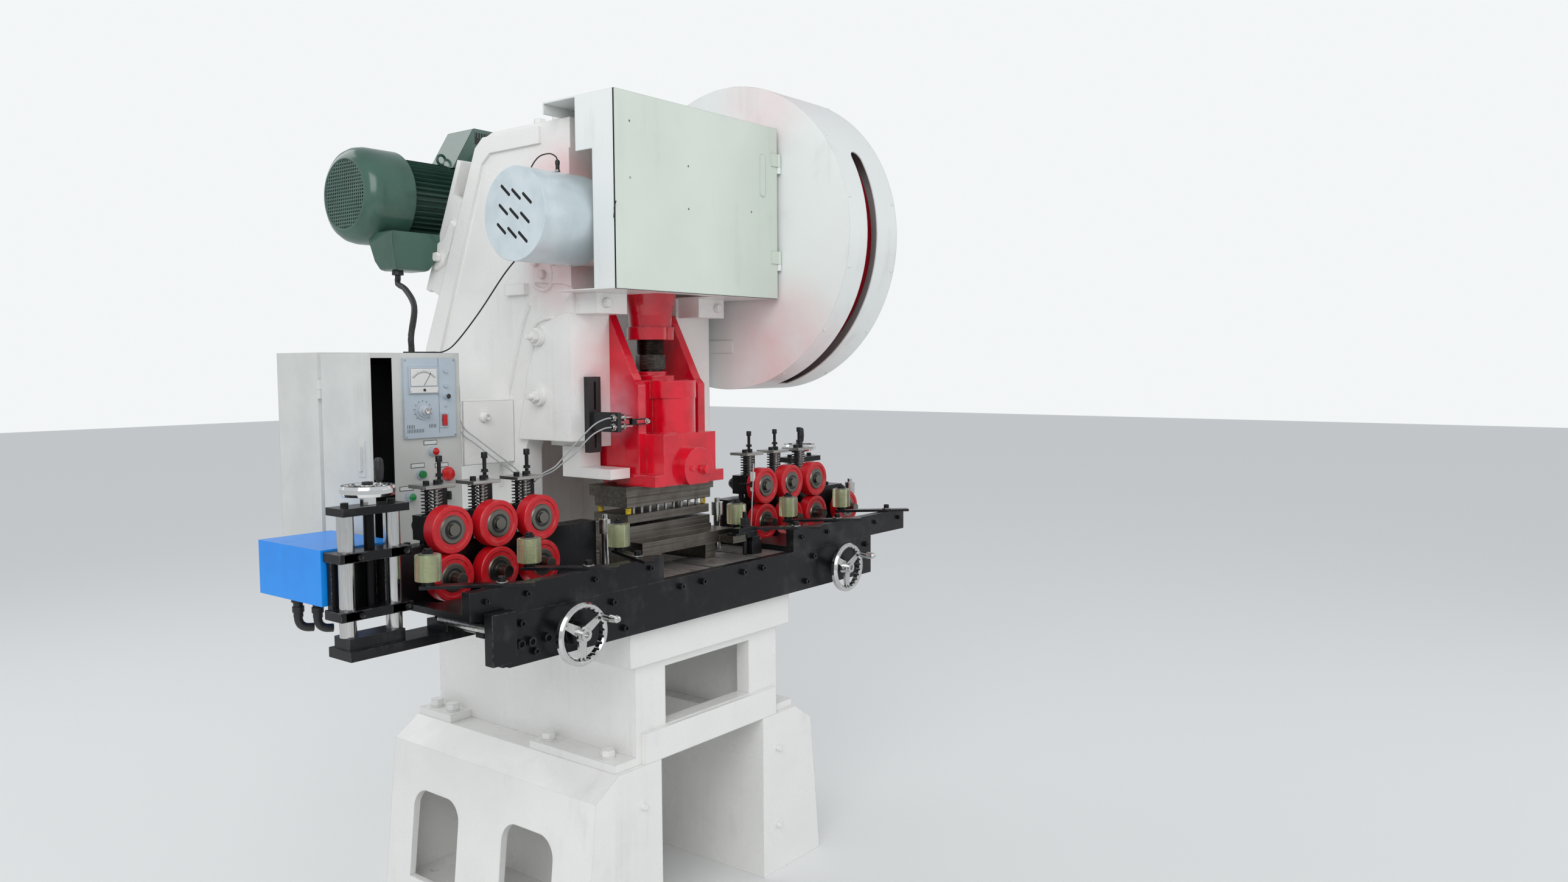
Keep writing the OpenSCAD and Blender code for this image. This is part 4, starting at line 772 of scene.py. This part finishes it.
def makePressSprings(v):
    black, bright, bolts = Shape(), Shape(), Shape()
    for x in rollPlaces:
        for dx, springs in zip(v["offsets"], (black, bright)):
            spot = onPress(x + dx, v["depth"], 0)
            coil(springs, spot, v)
            foot = (spot.x, spot.y, v["low"] / 1000 + 0.0001)
            springs.turned([(v["rod"], 0), (v["rod"], v["rodTall"])], foot, toTop, 14)
            bolts.bolt(onPress(x + dx, v["depth"], v["boltLow"]), toTop, 0.016, 0.011)
    made = black.piece("blackSpringCoils", "blackOxide", "spring_steel")
    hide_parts("press_springs")
    bright.piece("brightSpringCoils", "screwSteel", "spring_steel")
    bolts.piece("springPlateBolts", "blackOxide", "black_oxide")


makePressSprings(pressSpring)

# Yellow springs between the upper die and the stripper
stripperSpring = {"coilRadius": 0.0072, "wire": 0.0017, "turns": 4.5, "low": 1184.1, "high": 1203.9,
    "spots": ((-168, -68), (-168, 48), (154, -68), (154, 48))}


def makeStripperSprings(v):
    springs = Shape()
    for x, y in v["spots"]:
        coil(springs, onPress(x, y, 0), v)
    made = springs.piece("stripperSpringCoils", "springYellow", "spring_yellow", body="ram_set")
    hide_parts("stripper_springs")
    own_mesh(made)


makeStripperSprings(stripperSpring)
print("stage: springs")

# Speed control panel
panel = {"face": 292, "meter": ((-646, 1541), (-551, 1617)), "knob": (-602, 1494), "needleTurn": 62,
    "ticks": 21, "scale": 44.0, "line": 0.0006, "lamps": ((-569, 1379), (-647, 1257)), "lampFace": 282}


# Point at a radius and a turn round a centre on the panel
def onDial(centre, radius, turn, y):
    return onPress(centre[0] + radius * cos(turn), y, centre[1] + radius * sin(turn))


def makePanelDetails(v):
    (x0, z0), (x1, z1) = v["meter"]
    front, line = v["face"] - 4, v["line"]
    dial, marks, brow, studs = Shape(), Shape(), Shape(), Shape()
    dial.slab((x0 + 5, front - 0.9, z0 + 22), (x1 - 5, front - 0.1, z1 - 5))
    dial.piece("meterDial", "dialWhite", "panel_plastic", 0.0004)
    pivot = ((x0 + x1) / 2, z0 + 16)
    for i in range(v["ticks"]):
        a = radians(140 - 100 * i / (v["ticks"] - 1))
        tall = 6.5 if i % 5 == 0 else 4.0
        ends = (v["scale"], v["scale"] + tall)
        inner, outer = (Vector((pivot[0] + r * cos(a), 0, pivot[1] + r * sin(a))) for r in ends)
        side = Vector((-sin(a), 0, cos(a))) * 0.45
        corners = [inner - side, inner + side, outer + side, outer - side]
        marks.add([onPress(c.x, front - depth, c.z) for depth in (1.05, 0.85) for c in corners],
            [(0, 1, 2, 3), (4, 7, 6, 5), (0, 4, 5, 1), (1, 5, 6, 2), (2, 6, 7, 3), (3, 7, 4, 0)])
    marks.swept([onDial(pivot, 43.4, radians(40 + 5 * i), front - 1.0) for i in range(21)], 0.0005, 6)
    tip = onDial(pivot, 47, radians(v["needleTurn"]), front - 1.4)
    marks.swept([onPress(pivot[0], front - 1.4, pivot[1] + 8), tip], line, 6)
    for i in range(11):
        turn = radians(225 - 27 * i)
        marks.swept([onDial(v["knob"], r, turn, v["face"] - 0.3) for r in (25.5, 30)], line, 6)
    marks.piece("panelMarks", "blackPlastic", "black_plastic")
    brow.slab((x0 + 2, front - 2.0, z0 + 2), (x1 - 2, front - 0.1, z0 + 20))
    brow.piece("meterSkirt", "linkWhite", "panel_plastic", 0.0008)
    studs.turned([(0, 0.003), (0.003, 0.0028), (0.004, 0.0015), (0.004, 0), (0, 0)],
        onPress(pivot[0], front - 2.0, z0 + 11), toFront, 20)
    studs.turned([(0, 0.001), (0.0062, 0.0009), (0.0072, 0)], onPress(-527, 275.9, 1533), toFront, 20)
    studs.piece("panelStuds", "blackPlastic", "black_plastic")
    for color, (x, z) in zip(("red", "green"), v["lamps"]):
        lens = Shape()
        lens.turned([(0, 0.0052), (0.006, 0.0046), (0.0098, 0.002), (0.0108, 0.0), (0.0108, -0.0085)],
            onPress(x, v["lampFace"], z), toFront, 28)
        lens.piece(color + "LampLens", color + "Plastic", color + "_plastic")
    screws = Shape()
    for x in (-655, -497):
        for z in (1423, 1635):
            screws.bolt(onPress(x, v["face"], z), toFront, 0.005, 0.0015)
    for x in (-641, -556):
        screws.bolt(onPress(x, front, 1548), toFront, 0.004, 0.0022)
    screws.piece("panelScrews", "screwSteel", "machined_steel")


makePanelDetails(panel)
print("stage: control panel")

# Sheet metal screws round the flywheel guard
guardScrews = {"z": 2022, "rimRadius": 486, "rimX": (372, 606), "rimTurns": range(-63, 138, 25),
    "size": 0.013, "tall": 0.004}


def makeGuardScrews(v):
    screws = Shape()
    for x in v["rimX"]:
        for turn in v["rimTurns"]:
            a = radians(turn)
            out = Vector((0, -cos(a), sin(a)))
            spot = onPress(x, 0, v["z"]) + out * (v["rimRadius"] / 1000 - 0.0006)
            screws.bolt(spot, out, v["size"], v["tall"], False)
    screws.piece("guardScrews", "guardPaint", "guard_paint")


makeGuardScrews(guardScrews)


# Drive motor
motor = {"y": 812.01, "z": 2149.97, "fanX": -508, "grilleRadius": 106, "pitch": 10.6, "bar": 4.4, "ribs": 44,
    "ribHigh": 132, "core": 113, "eye": (-150, 152, 16), "eyeWire": 0.005}


def aroundMotor(x, radius, turn):
    return onPress(x, motor["y"] + radius * cos(turn), motor["z"] + radius * sin(turn))


def makeMotor(v):
    shell, fan, grille = Shape(), v["fanX"], v["grilleRadius"]
    hub = onPress(0, v["y"], v["z"])
    cowl = [(grille - 2, fan + 10), (grille, fan + 0.5), (grille + 2, fan), (118, fan + 3), (134, fan + 14),
        (145, fan + 32), (150, fan + 56), (150, fan + 158), (147, fan + 160), (144, fan + 154),
        (144, fan + 60)]
    case = [(v["core"], -352), (v["core"], -132), (139, -132), (140, -129), (140, -113), (131, -112),
        (134, -108), (192, -72), (199, -64), (200, -56), (200, 196), (198, 206), (186, 219), (60, 220),
        (0, 220)]
    for outline in (cowl, case):
        shell.turned([(r / 1000, x / 1000) for r, x in outline], hub, toRight, 72)
    for k in range(v["ribs"]):
        t = 2 * pi * (k + 0.5) / v["ribs"]
        side = Vector((0, -sin(t), cos(t))) * 0.0014
        root, top = v["core"] - 1, v["ribHigh"]
        rib = ((-356, root), (-134, root), (-134, top), (-344, top), (-356, top - 8))
        line = [aroundMotor(x, r, t) for x, r in rib]
        shell.add([p - side for p in line] + [p + side for p in line],
            [(0, 1, 2, 3, 4), (9, 8, 7, 6, 5)] + ringFaces(2, 5))
    for x, radius in ((-112, 138), (-60, 197)):
        for k in range(8):
            spot = aroundMotor(x - 0.5, radius - 9, radians(22 + 45 * k))
            shell.bolt(spot, (-1, 0, 0), 0.012, 0.006, False)
    # Vent hood over the clutch
    hood = [(-156, 118), (-72, 258), (-66, 260), (84, 258), (96, 240), (96, 118)]
    corners = [onPress(x, v["y"] + y, v["z"] + z) for y in (-70, 70) for x, z in hood]
    shell.add(corners, [(5, 4, 3, 2, 1, 0), (6, 7, 8, 9, 10, 11)] + ringFaces(2, 6))
    # Terminal box, narrower at the bottom
    rings = [((-452, -282), (-168, -42), -118), ((-452, -282), (-168, -42), -150),
        ((-440, -296), (-160, -50), -205), ((-428, -312), (-150, -60), -231),
        ((-418, -322), (-142, -68), -235.2)]
    corners = [onPress(x, v["y"] + y, v["z"] + z) for (x0, x1), (y0, y1), z in rings
        for x, y in ((x0, y0), (x1, y0), (x1, y1), (x0, y1))]
    shell.add(corners, [(0, 1, 2, 3), (19, 18, 17, 16)] + ringFaces(len(rings), 4))
    # Foot on the sloping plate
    down, out = Vector((0, 0.2738, -0.9618)), Vector((0, 0.9618, 0.2738))
    centre = onPress(50, v["y"], v["z"]) - out * 0.184
    corners = [centre + Vector((0.14 * sx, 0, 0)) + down * 0.15 * sa + out * 0.016 * sb
        for sx in (-1, 1) for sa in (-1, 1) for sb in (-1, 1)]
    shell.add(corners, [(0, 1, 3, 2), (4, 6, 7, 5), (0, 4, 5, 1), (2, 3, 7, 6), (0, 2, 6, 4), (1, 5, 7, 3)])
    # Lifting eye
    x, up, r = v["eye"]
    turns = [2 * pi * k / 20 for k in range(20)]
    ring = [onPress(x + r * cos(t), v["y"], v["z"] + up + r * sin(t)) for t in turns]
    shell.swept(ring, v["eyeWire"], 8, True)
    made = shell.piece("motorShell", "motorGreen", "motor_paint", 0.0015)
    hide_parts("drive_motor")


def makeMotorGrille(v):
    bars, dark, y, z, fan = Shape(), Shape(), v["y"], v["z"], v["fanX"]
    reach, w = int(v["grilleRadius"] / v["pitch"]), v["bar"] / 2
    for k in range(-reach, reach + 1):
        d = k * v["pitch"]
        half = sqrt(max(0.0, v["grilleRadius"] ** 2 - d * d))
        long, across = (-half, half), (d - w, d + w)
        for a, b, depth in ((across, long, 0.0), (long, across, 0.4)):
            bars.slab((fan + 1.2 + depth, y + a[0], z + b[0]), (fan + 3.2 + depth, y + a[1], z + b[1]))
    for i in range(-7, 8):
        x = 12 + i * 11
        lift = 40 - abs(x - 12) * 0.35
        bars.slab((x - 1.6, y - 71.2, z + 246 - lift), (x + 1.6, y - 69.8, z + 248))
    bars.piece("motorGrille", "motorGreen", "motor_paint")
    # Painted shade: a flat black disc behind the fan grille and a black strip behind the vent bars stand in
    # for the openings; the short ring under the terminal box is a cable gland
    dark.turned([(0, fan / 1000 + 0.009), (v["grilleRadius"] / 1000, fan / 1000 + 0.0085)],
        onPress(0, y, z), toRight, 48)
    dark.slab((-66, y - 70.6, z + 208), (90, y - 69.9, z + 247))
    dark.turned([(0.0095, 0.014), (0.017, 0.013), (0.018, 0.001), (0.016, 0), (0.0095, -0.001)],
        onPress(-400, 700, 1901), toTop, 24)
    dark.piece("motorShadeAndGland", "blackPlastic", "black_plastic")


makeMotor(motor)
makeMotorGrille(motor)
print("stage: motor")

# Brake guard: three by three slots in slanting rows, shown as flat near-black faces of painted shade on its
# end
brakeGuard = {"z": 2022, "radius": 126, "x0": -505, "x1": -287, "slot": (24, 4.4), "slant": 40,
    "across": (44, 14), "down": (-10, 50), "glandX": -352}


def makeBrakeGuard(v):
    drum, slotShade, gland, nut = Shape(), Shape(), Shape(), Shape()
    r, x0, x1 = v["radius"] / 1000, v["x0"] / 1000, v["x1"] / 1000
    drum.turned([(0, x0), (r - 0.0012, x0), (r, x0 + 0.0012), (r, x1), (r - 0.0025, x1)],
        onPress(0, 0, v["z"]), toRight, 72)
    made = drum.piece("brakeDrum", "brakePaint", "guard_paint")
    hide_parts("brake_guard")
    lean = radians(v["slant"])
    long, wide = v["slot"]
    edge = []
    for k in range(16):
        t = 2 * pi * (k + 0.5) / 16
        edge.append(((long - wide) * (1 if cos(t) > 0 else -1) + wide * cos(t), wide * sin(t)))
    for i in range(-1, 2):
        for j in range(-1, 2):
            cy = i * v["across"][0] + j * v["down"][0]
            cz = v["z"] + j * v["down"][1] + i * v["across"][1]
            leant = [(a * cos(lean) - b * sin(lean), a * sin(lean) + b * cos(lean)) for a, b in edge]
            # Painted shade: each slot is a flat near-black face standing in for the opening
            slotShade.add([onPress(v["x0"] - 0.25, cy + y, cz + z) for y, z in leant], [tuple(range(16))])
    slotShade.piece("brakeSlotShade", "paintedShadeBlack", "black_oxide")
    top = onPress(v["glandX"], 0, v["z"] + v["radius"])
    gland.turned([(0.0075, -0.006), (0.0075, 0.004), (0.0055, 0.005), (0.0055, 0.022), (0.0065, 0.023),
        (0.0065, 0.032), (0.003, 0.036), (0, 0.036)], top, toTop, 20)
    gland.piece("brakeGland", "blackPlastic", "black_plastic")
    nut.turned([(0.0085, 0.003), (0.0085, 0.008), (0.0055, 0.009)], top, toTop, 6)
    nut.piece("brakeNut", "chromedSteel", "chromed_steel")


makeBrakeGuard(brakeGuard)

# Wires: radius and points
wires = {
    "black": [
        (1.9, [(-352, 0, 2180), (-354, 4, 2192), (-366, 16, 2200), (-386, 34, 2192), (-400, 48, 2168),
            (-404, 60, 2140)]),
        (2.1, [(-497, 10, 1899), (-499, 60, 1860), (-500, 170, 1762), (-505, 270, 1682), (-512, 318, 1659),
            (-530, 340, 1657.5), (-560, 372, 1657.5), (-600, 380, 1657.5)]),
        (1.6, [(-349, -226, 2052), (-352, -222, 2036), (-351, -221, 2024), (-352, -220, 2010),
            (-350, -223, 2002)]),
    ],
    "grey": [
        (2.0, [(-252, -93, 1469), (-272, -88, 1467), (-300, -70, 1450), (-330, -30, 1400), (-352, 4, 1356),
            (-372, 14, 1334), (-412, 18, 1318), (-446, 10, 1300)]),
        (2.0, [(-252, -93, 1443), (-276, -86, 1440), (-304, -64, 1420), (-330, -26, 1372), (-352, 8, 1340),
            (-374, 20, 1322), (-412, 24, 1310), (-446, 16, 1296)]),
        (2.0, [(-471, 320, 1612), (-466, 312, 1560), (-470, 304, 1480), (-468, 290, 1440), (-446, 250, 1404),
            (-440, 180, 1368), (-452, 90, 1336), (-472, 34, 1318), (-484, 20, 1300)]),
        (2.0, [(-471, 330, 1606), (-463, 318, 1540), (-466, 312, 1470), (-470, 296, 1424), (-452, 260, 1394),
            (-446, 186, 1356), (-456, 96, 1326), (-476, 40, 1312), (-488, 26, 1298)]),
        (2.0, [(410, -60, 1262), (409, -66, 1280), (398, -74, 1290), (384, -84, 1276), (372, -92, 1226),
            (362, -96, 1170), (356, -98, 1120), (352, -96, 1060), (350, -92, 1030)]),
    ],
}


wireCoats = {"black": ("beltRubber", "black_plastic"), "grey": ("wireGrey", "panel_plastic")}


def makeWires(runs):
    for color, lines in runs.items():
        wire = Shape()
        for radius, points in lines:
            wire.swept([onPress(*p) for p in easedLine(points)], radius / 1000, 8)
        made = wire.piece(color + "Wires", *wireCoats[color])
        if color == "black":
            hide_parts("signal_cables")


makeWires(wires)
print("stage: brake guard and wires")

# Lift carriages
lift = {"spots": ((-1018, -95), (892, 112)), "low": 1046, "high": 1200, "plate": 22, "span": 118}


def makeCarriages(v):
    for i, name in enumerate(("left", "right")):
        x, y = v["spots"][i]
        body = Shape()
        for z in (v["low"], v["high"] - v["plate"]):
            body.slab((x - 92, y - 30, z), (x + 92, y + 40, z + v["plate"]))
            for s in (-1, 1):
                mid = x + s * v["span"] / 2
                body.slab((mid - 22, y - 30, z + 1), (mid + 22, y - 27, z + v["plate"] - 1))
        body.slab((x - 84, y + 22, v["low"] + 20), (x + 84, y + 40, v["high"] - 20))
        body.slab((x + 30, y - 14, v["low"] + 20), (x + 38, y + 24, v["high"] - 20))
        body.slab((x - 60, y + 39, 1080 - 20 * i), (x + 60, y + 60 - 17 * (1 - i), 1180 - 10 * i))
        for s in (-1, 1):
            for z in (v["low"] + 11, v["high"] - 11):
                body.bolt(onPress(x + s * v["span"] / 2 + 16, y - 30, z), toFront, 0.014, 0.008)
        made = body.piece(name + "Carriage", "blackOxide", "black_oxide", 0.001, body=f"carriage_{name}")
        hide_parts(name + "_carriage")


makeCarriages(lift)

# Small fittings on the frame and the feed
fittings = {
    "sensorZ": (1443, 1469), "sensorAt": (-250, -93), "ramZ": 1266, "flagY": (-99.0, -85.6),
    "coverLow": 1823, "coverHigh": 2348, "bracketBolt": (-392, 1468), "bracketFront": 297.5,
    "bracketPlate": ((-472, 297.5, 1330), (-283, 299.5, 1516)),
    "bracketEdge": ((-468, 297.5, 1331), (-464, 296.5, 1515)),
}


def makeBracketFace(v):
    face = Shape()
    face.slab(*v["bracketPlate"])
    face.slab(*v["bracketEdge"])
    (x, z), front = v["bracketBolt"], v["bracketFront"]
    face.bolt(onPress(x, front, z), toFront, 0.034, 0.012, False)
    face.bolt(onPress(x, front - 11.5, z), toFront, 0.018, 0.010)
    face.piece("bracketFace", "framePaint", "frame_paint", 0.0008)


def makeSensors(v):
    sensors, nuts = Shape(), Shape()
    for z in v["sensorZ"]:
        spot = onPress(*v["sensorAt"], z)
        sensors.turned([(0, -0.002), (0.0064, -0.002), (0.0064, 0.0745), (0.0058, 0.0755), (0, 0.0755)],
            spot, toRight, 24)
        for along in (0.002, 0.040):
            nuts.turned([(0.0062, 0), (0.0108, 0.0004), (0.0114, 0.002), (0.0114, 0.0044), (0.0108, 0.006),
                (0.0062, 0.0064)], spot + Vector((along, 0, 0)), toRight, 6)
    sensors.piece("sensorBarrels", "chromedSteel", "chromed_steel")
    nuts.piece("sensorNuts", "machinedSteel", "machined_steel", smooth=False)


def makeRamFlag(v):
    flag = Shape()
    z0, z1 = v["ramZ"] + 180.4, v["ramZ"] + 197.6
    y0, y1 = v["flagY"]
    flag.slab((-176.5, y0, z0), (-158, y1, z1))
    flag.slab((-158.5, y0, z0), (-103.5, y1, z0 + 3.6))
    flag.slab((-158.5, y0, z1 - 3.6), (-103.5, y1, z1))
    flag.slab((-109.5, y0, z0), (-103.0, y1, z1))
    flag.piece("ramFlag", "blackOxide", "black_oxide", 0.0006, body="ram_set")
    bolt = Shape()
    middle = (z0 + z1) / 2
    bolt.turned([(0.0085, 0), (0.0085, 0.0022), (0.006, 0.0026)], onPress(-119, y0, middle), toFront, 24)
    bolt.bolt(onPress(-119, y0 - 2, middle), toFront, 0.012, 0.007)
    bolt.piece("ramFlagBolt", "screwSteel", "machined_steel", body="ram_set")


# Near-black strips along the door's left and bottom edges: painted shade in the gap between the door and the
# cover
def makeDoorGapShade(v):
    darkBand = Shape()
    darkBand.slab((-346.9, -219.6, v["coverLow"] + 0.5), (-341, -215, v["coverHigh"] - 0.5))
    darkBand.slab((-345, -219.6, v["coverLow"] - 0.9), (345, -214, v["coverLow"] + 3))
    darkBand.piece("doorGapShade", "paintedShadeBlack", "black_oxide")


makeBracketFace(fittings)
makeSensors(fittings)
makeRamFlag(fittings)
makeDoorGapShade(fittings)
print("stage: fittings")

# Polyurethane guide rollers
guideRoller = {
    "spots": ((-905, -156), (-600, -150), (-285, -150), (250, -124), (485, -150), (790, -150)),
    "low": 1115, "tall": 63, "radius": 31,
}


def makeGuideRollers(v):
    tyre, core, tops = Shape(), Shape(), Shape()
    r, h = v["radius"] / 1000, v["tall"] / 1000
    for x, y in v["spots"]:
        base = onPress(x, y, v["low"])
        low = [(0.0148, 0.0002), (r - 0.003, 0), (r - 0.001, 0.0008), (r, 0.003)]
        groove = [(r, h * 0.60), (r - 0.0009, h * 0.605), (r - 0.0009, h * 0.62), (r, h * 0.625)]
        high = [(r, h - 0.003), (r - 0.001, h - 0.0008), (r - 0.003, h), (0.0148, h - 0.0002)]
        tyre.turned(low + groove + high + low[:1], base, toTop, 48)
        core.turned([(0.0144, -0.0004), (0.0144, h + 0.0004), (0.010, h + 0.001)], base, toTop, 32)
        core.turned([(0.0115, 0), (0.0205, 0.0002), (0.0208, 0.0018), (0.012, 0.002)],
            base + Vector((0, 0, h + 0.0004)), toTop, 32)
        tops.bolt(base + Vector((0, 0, h + 0.0022)), toTop, 0.019, 0.012)
    made = tyre.piece("guideTyres", "clearPolyurethane", "clear_polyurethane")
    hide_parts("guide_rollers")
    core.piece("guideCores", "machinedSteel", "machined_steel")
    tops.piece("guideBolts", "blackOxide", "black_oxide")


makeGuideRollers(guideRoller)

# Plates, bolts and washers round the feed
feedExtras = {
    "plateLow": 1313, "washerLow": 1241.6, "boltAt": (40, 34), "boltLow": 1374,
    "armY": -268, "armX": (-780, -505, -330, 372, 600, 900), "armWasherLow": 1104.6,
}


def makeFeedExtras(v):
    plates, bolts, washers = Shape(), Shape(), Shape()
    for x in rollPlaces:
        plates.slab((x - 40.4, -26.4, v["plateLow"] - 0.4), (x + 45.4, 50.4, v["plateLow"] + 8.4))
        dx, y = v["boltAt"]
        bolts.bolt(onPress(x + dx, y, v["boltLow"]), toTop, 0.017, 0.016)
        bolts.turned([(0.0052, 0), (0.0052, 0.022)], onPress(x + dx, y, v["boltLow"] - 20), toTop, 14)
        for dx in pressSpring["offsets"]:
            washers.turned([(0.011, 0), (0.0125, 0.0002), (0.0125, 0.0024), (0.006, 0.0026)],
                onPress(x + dx, pressSpring["depth"], v["washerLow"]), toTop, 24)
    for x in v["armX"]:
        washers.turned([(0.0135, 0), (0.0152, 0.0003), (0.0152, 0.0028), (0.0135, 0.0030), (0, 0.003)],
            onPress(x, v["armY"], v["armWasherLow"]), toTop, 24)
        bolts.bolt(onPress(x, v["armY"], v["armWasherLow"] + 2.8), toTop, 0.0185, 0.0125)
    plates.piece("springTopPlates", "machinedSteel", "machined_steel", 0.0006)
    bolts.piece("feedBolts", "blackOxide", "black_oxide")
    washers.piece("feedWashers", "screwSteel", "machined_steel")


makeFeedExtras(feedExtras)

# Round sensor at the right and hose fittings under the blue cover
smallParts = {"sensor": (410, -60), "bands": ((1199, 1212), (1232, 1262)), "nuts": (1214, 1224),
    "arm": ((400, -52, 1219.5), (430, -12, 1223.5)), "hoses": ((-1090, 96), (-1066, 52)), "hoseTop": 1075,
    "hoseRadius": 0.010}


def makeSmallParts(v):
    white, dark = Shape(), Shape()
    spot = onPress(*v["sensor"], 0)
    for low, high in v["bands"]:
        z0, z1 = low / 1000, high / 1000
        white.turned([(0.0078, z0), (0.0085, z0 + 0.0006), (0.0085, z1 - 0.0006), (0.0078, z1), (0, z1)],
            spot, toTop, 24)
    dark.turned([(0.006, 1.1965), (0.006, 1.235)], spot, toTop, 16)
    for low in v["nuts"]:
        z0 = low / 1000
        dark.turned([(0.006, z0), (0.0125, z0 + 0.0004), (0.0125, z0 + 0.0056), (0.006, z0 + 0.006)],
            spot, toTop, 6)
    dark.slab(*v["arm"])
    for x, y in v["hoses"]:
        dark.turned([(0.015, 0.002), (0.015, -0.010), (0.011, -0.011), (0.011, -0.020), (0.0135, -0.021),
            (0.0135, -0.034), (0.011, -0.035), (0.011, -0.046)], onPress(x, y, v["hoseTop"]), toTop, 20)
        run = [(x, y, 1034), (x, y, 1022), (x + 4, y - 3, 1010), (x + 14, y - 8, 1003),
            (x + 30, y - 14, 1001)]
        dark.swept([onPress(*p) for p in easedLine(run, 5)], v["hoseRadius"], 12)
    white.piece("roundSensor", "dialWhite", "panel_plastic")
    dark.piece("smallDarkParts", "blackPlastic", "black_plastic")


makeSmallParts(smallParts)
print("stage: feed details")

# Raised edges of the casting round its bosses, on both cheeks
castLips = {"face": 283, "radius": 6.5, "lines": (
    ((45, 1744), (100, 1754), (145, 1754), (182, 1742), (202, 1715), (205, 1660), (212, 1590), (222, 1530),
        (214, 1508), (186, 1497), (110, 1495), (45, 1495)),
    ((190, 1850), (150, 1836), (118, 1850), (108, 1884), (124, 1914), (160, 1924)),
    ((215, 1796), (254, 1721), (310, 1560), (350, 1440), (364, 1340), (366, 1250)))}


def makeCastLips(v):
    lips = Shape()
    for side in (-1, 1):
        for line in v["lines"]:
            eased = easedLine([(side * v["face"], *p) for p in line], 5)
            lips.swept([onPress(*p) for p in eased], v["radius"] / 1000, 10)
    lips.piece("castLips", "framePaint", "frame_paint")


makeCastLips(castLips)

# Blank plates by the lamps, ribs of the panel and the cap of its knob
plates = {"spots": ((-575, 1404), (-618, 1342), (-540, 1338), (-540, 1278), (-655, 1281), (-572, 1226)),
    "wide": 22, "tall": 6.5, "lines": (291.7, 292.2)}


def makePanelTrim(v):
    pale, dark, cap = Shape(), Shape(), Shape()
    for x, z in v["spots"]:
        dark.slab((x - v["wide"], 299.2, z - v["tall"]), (x + v["wide"], 300.2, z + v["tall"]))
        wide, tall = v["wide"] - 1.5, v["tall"] - 1.5
        pale.slab((x - wide, 298.8, z - tall), (x + wide, 300.2, z + tall))
    ribs = [(-652 + 5 * i, 1434) for i in range(11)]
    ribs += [(x + 5 * i, 1446) for i in range(5) for x in (-652, -582)]
    y0, y1 = v["lines"]
    for x, z in ribs:
        dark.slab((x, y0, z), (x + 1.6, y1, z + 10))
    dark.slab((-549.2, y0, 1430), (-548.4, y1, 1640))
    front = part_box("speed_knob")[0][1]
    x, z = panel["knob"]
    cap.turned([(0.0086, 0.0), (0.0086, 0.0018), (0.0074, 0.0026), (0.0030, 0.0022), (0, 0.0016)],
        (x / 1000, front, z / 1000), toFront, 32)
    pale.piece("blankPlates", "dialWhite", "panel_plastic")
    dark.piece("panelLines", "blackPlastic", "black_plastic")
    cap.piece("knobCap", "screwSteel", "chromed_steel", body="knob")


makePanelTrim(plates)

# Bolts at the beam's left end
endBolts = {"spots": ((-748, 952), (-714, 952), (-664, 952)), "y": -284, "across": 24, "tall": 14}


def makeEndBolts(v):
    bolts = Shape()
    for x, z in v["spots"]:
        bolts.bolt(onPress(x, v["y"], z), toFront, v["across"] / 1000, v["tall"] / 1000)
    bolts.piece("beamEndBolts", "blackOxide", "black_oxide")


makeEndBolts(endBolts)

# Ground bar from the left lift's base to its bracket on the beam
tieBar = {"radius": 12, "back": (-833, -98, 1004), "front": (-833, -292, 1004),
    "bracket": ((-852, -322, 921), (-781, -291, 1044))}


def makeTieBar(v):
    bar, bracket = Shape(), Shape()
    back, front = onPress(*v["back"]), onPress(*v["front"])
    r = v["radius"] / 1000
    length = (front - back).length
    bar.turned([(0, 0), (r - 0.001, 0), (r, 0.001), (r, length - 0.001), (r - 0.001, length), (0, length)],
        back, front - back, 32)
    bracket.slab(*v["bracket"])
    bar.piece("tieBar", "screwSteel", "machined_steel")
    bracket.piece("tieBracket", "blackOxide", "black_oxide", 0.0015)


makeTieBar(tieBar)
print("stage: trim")

print("stage: done")
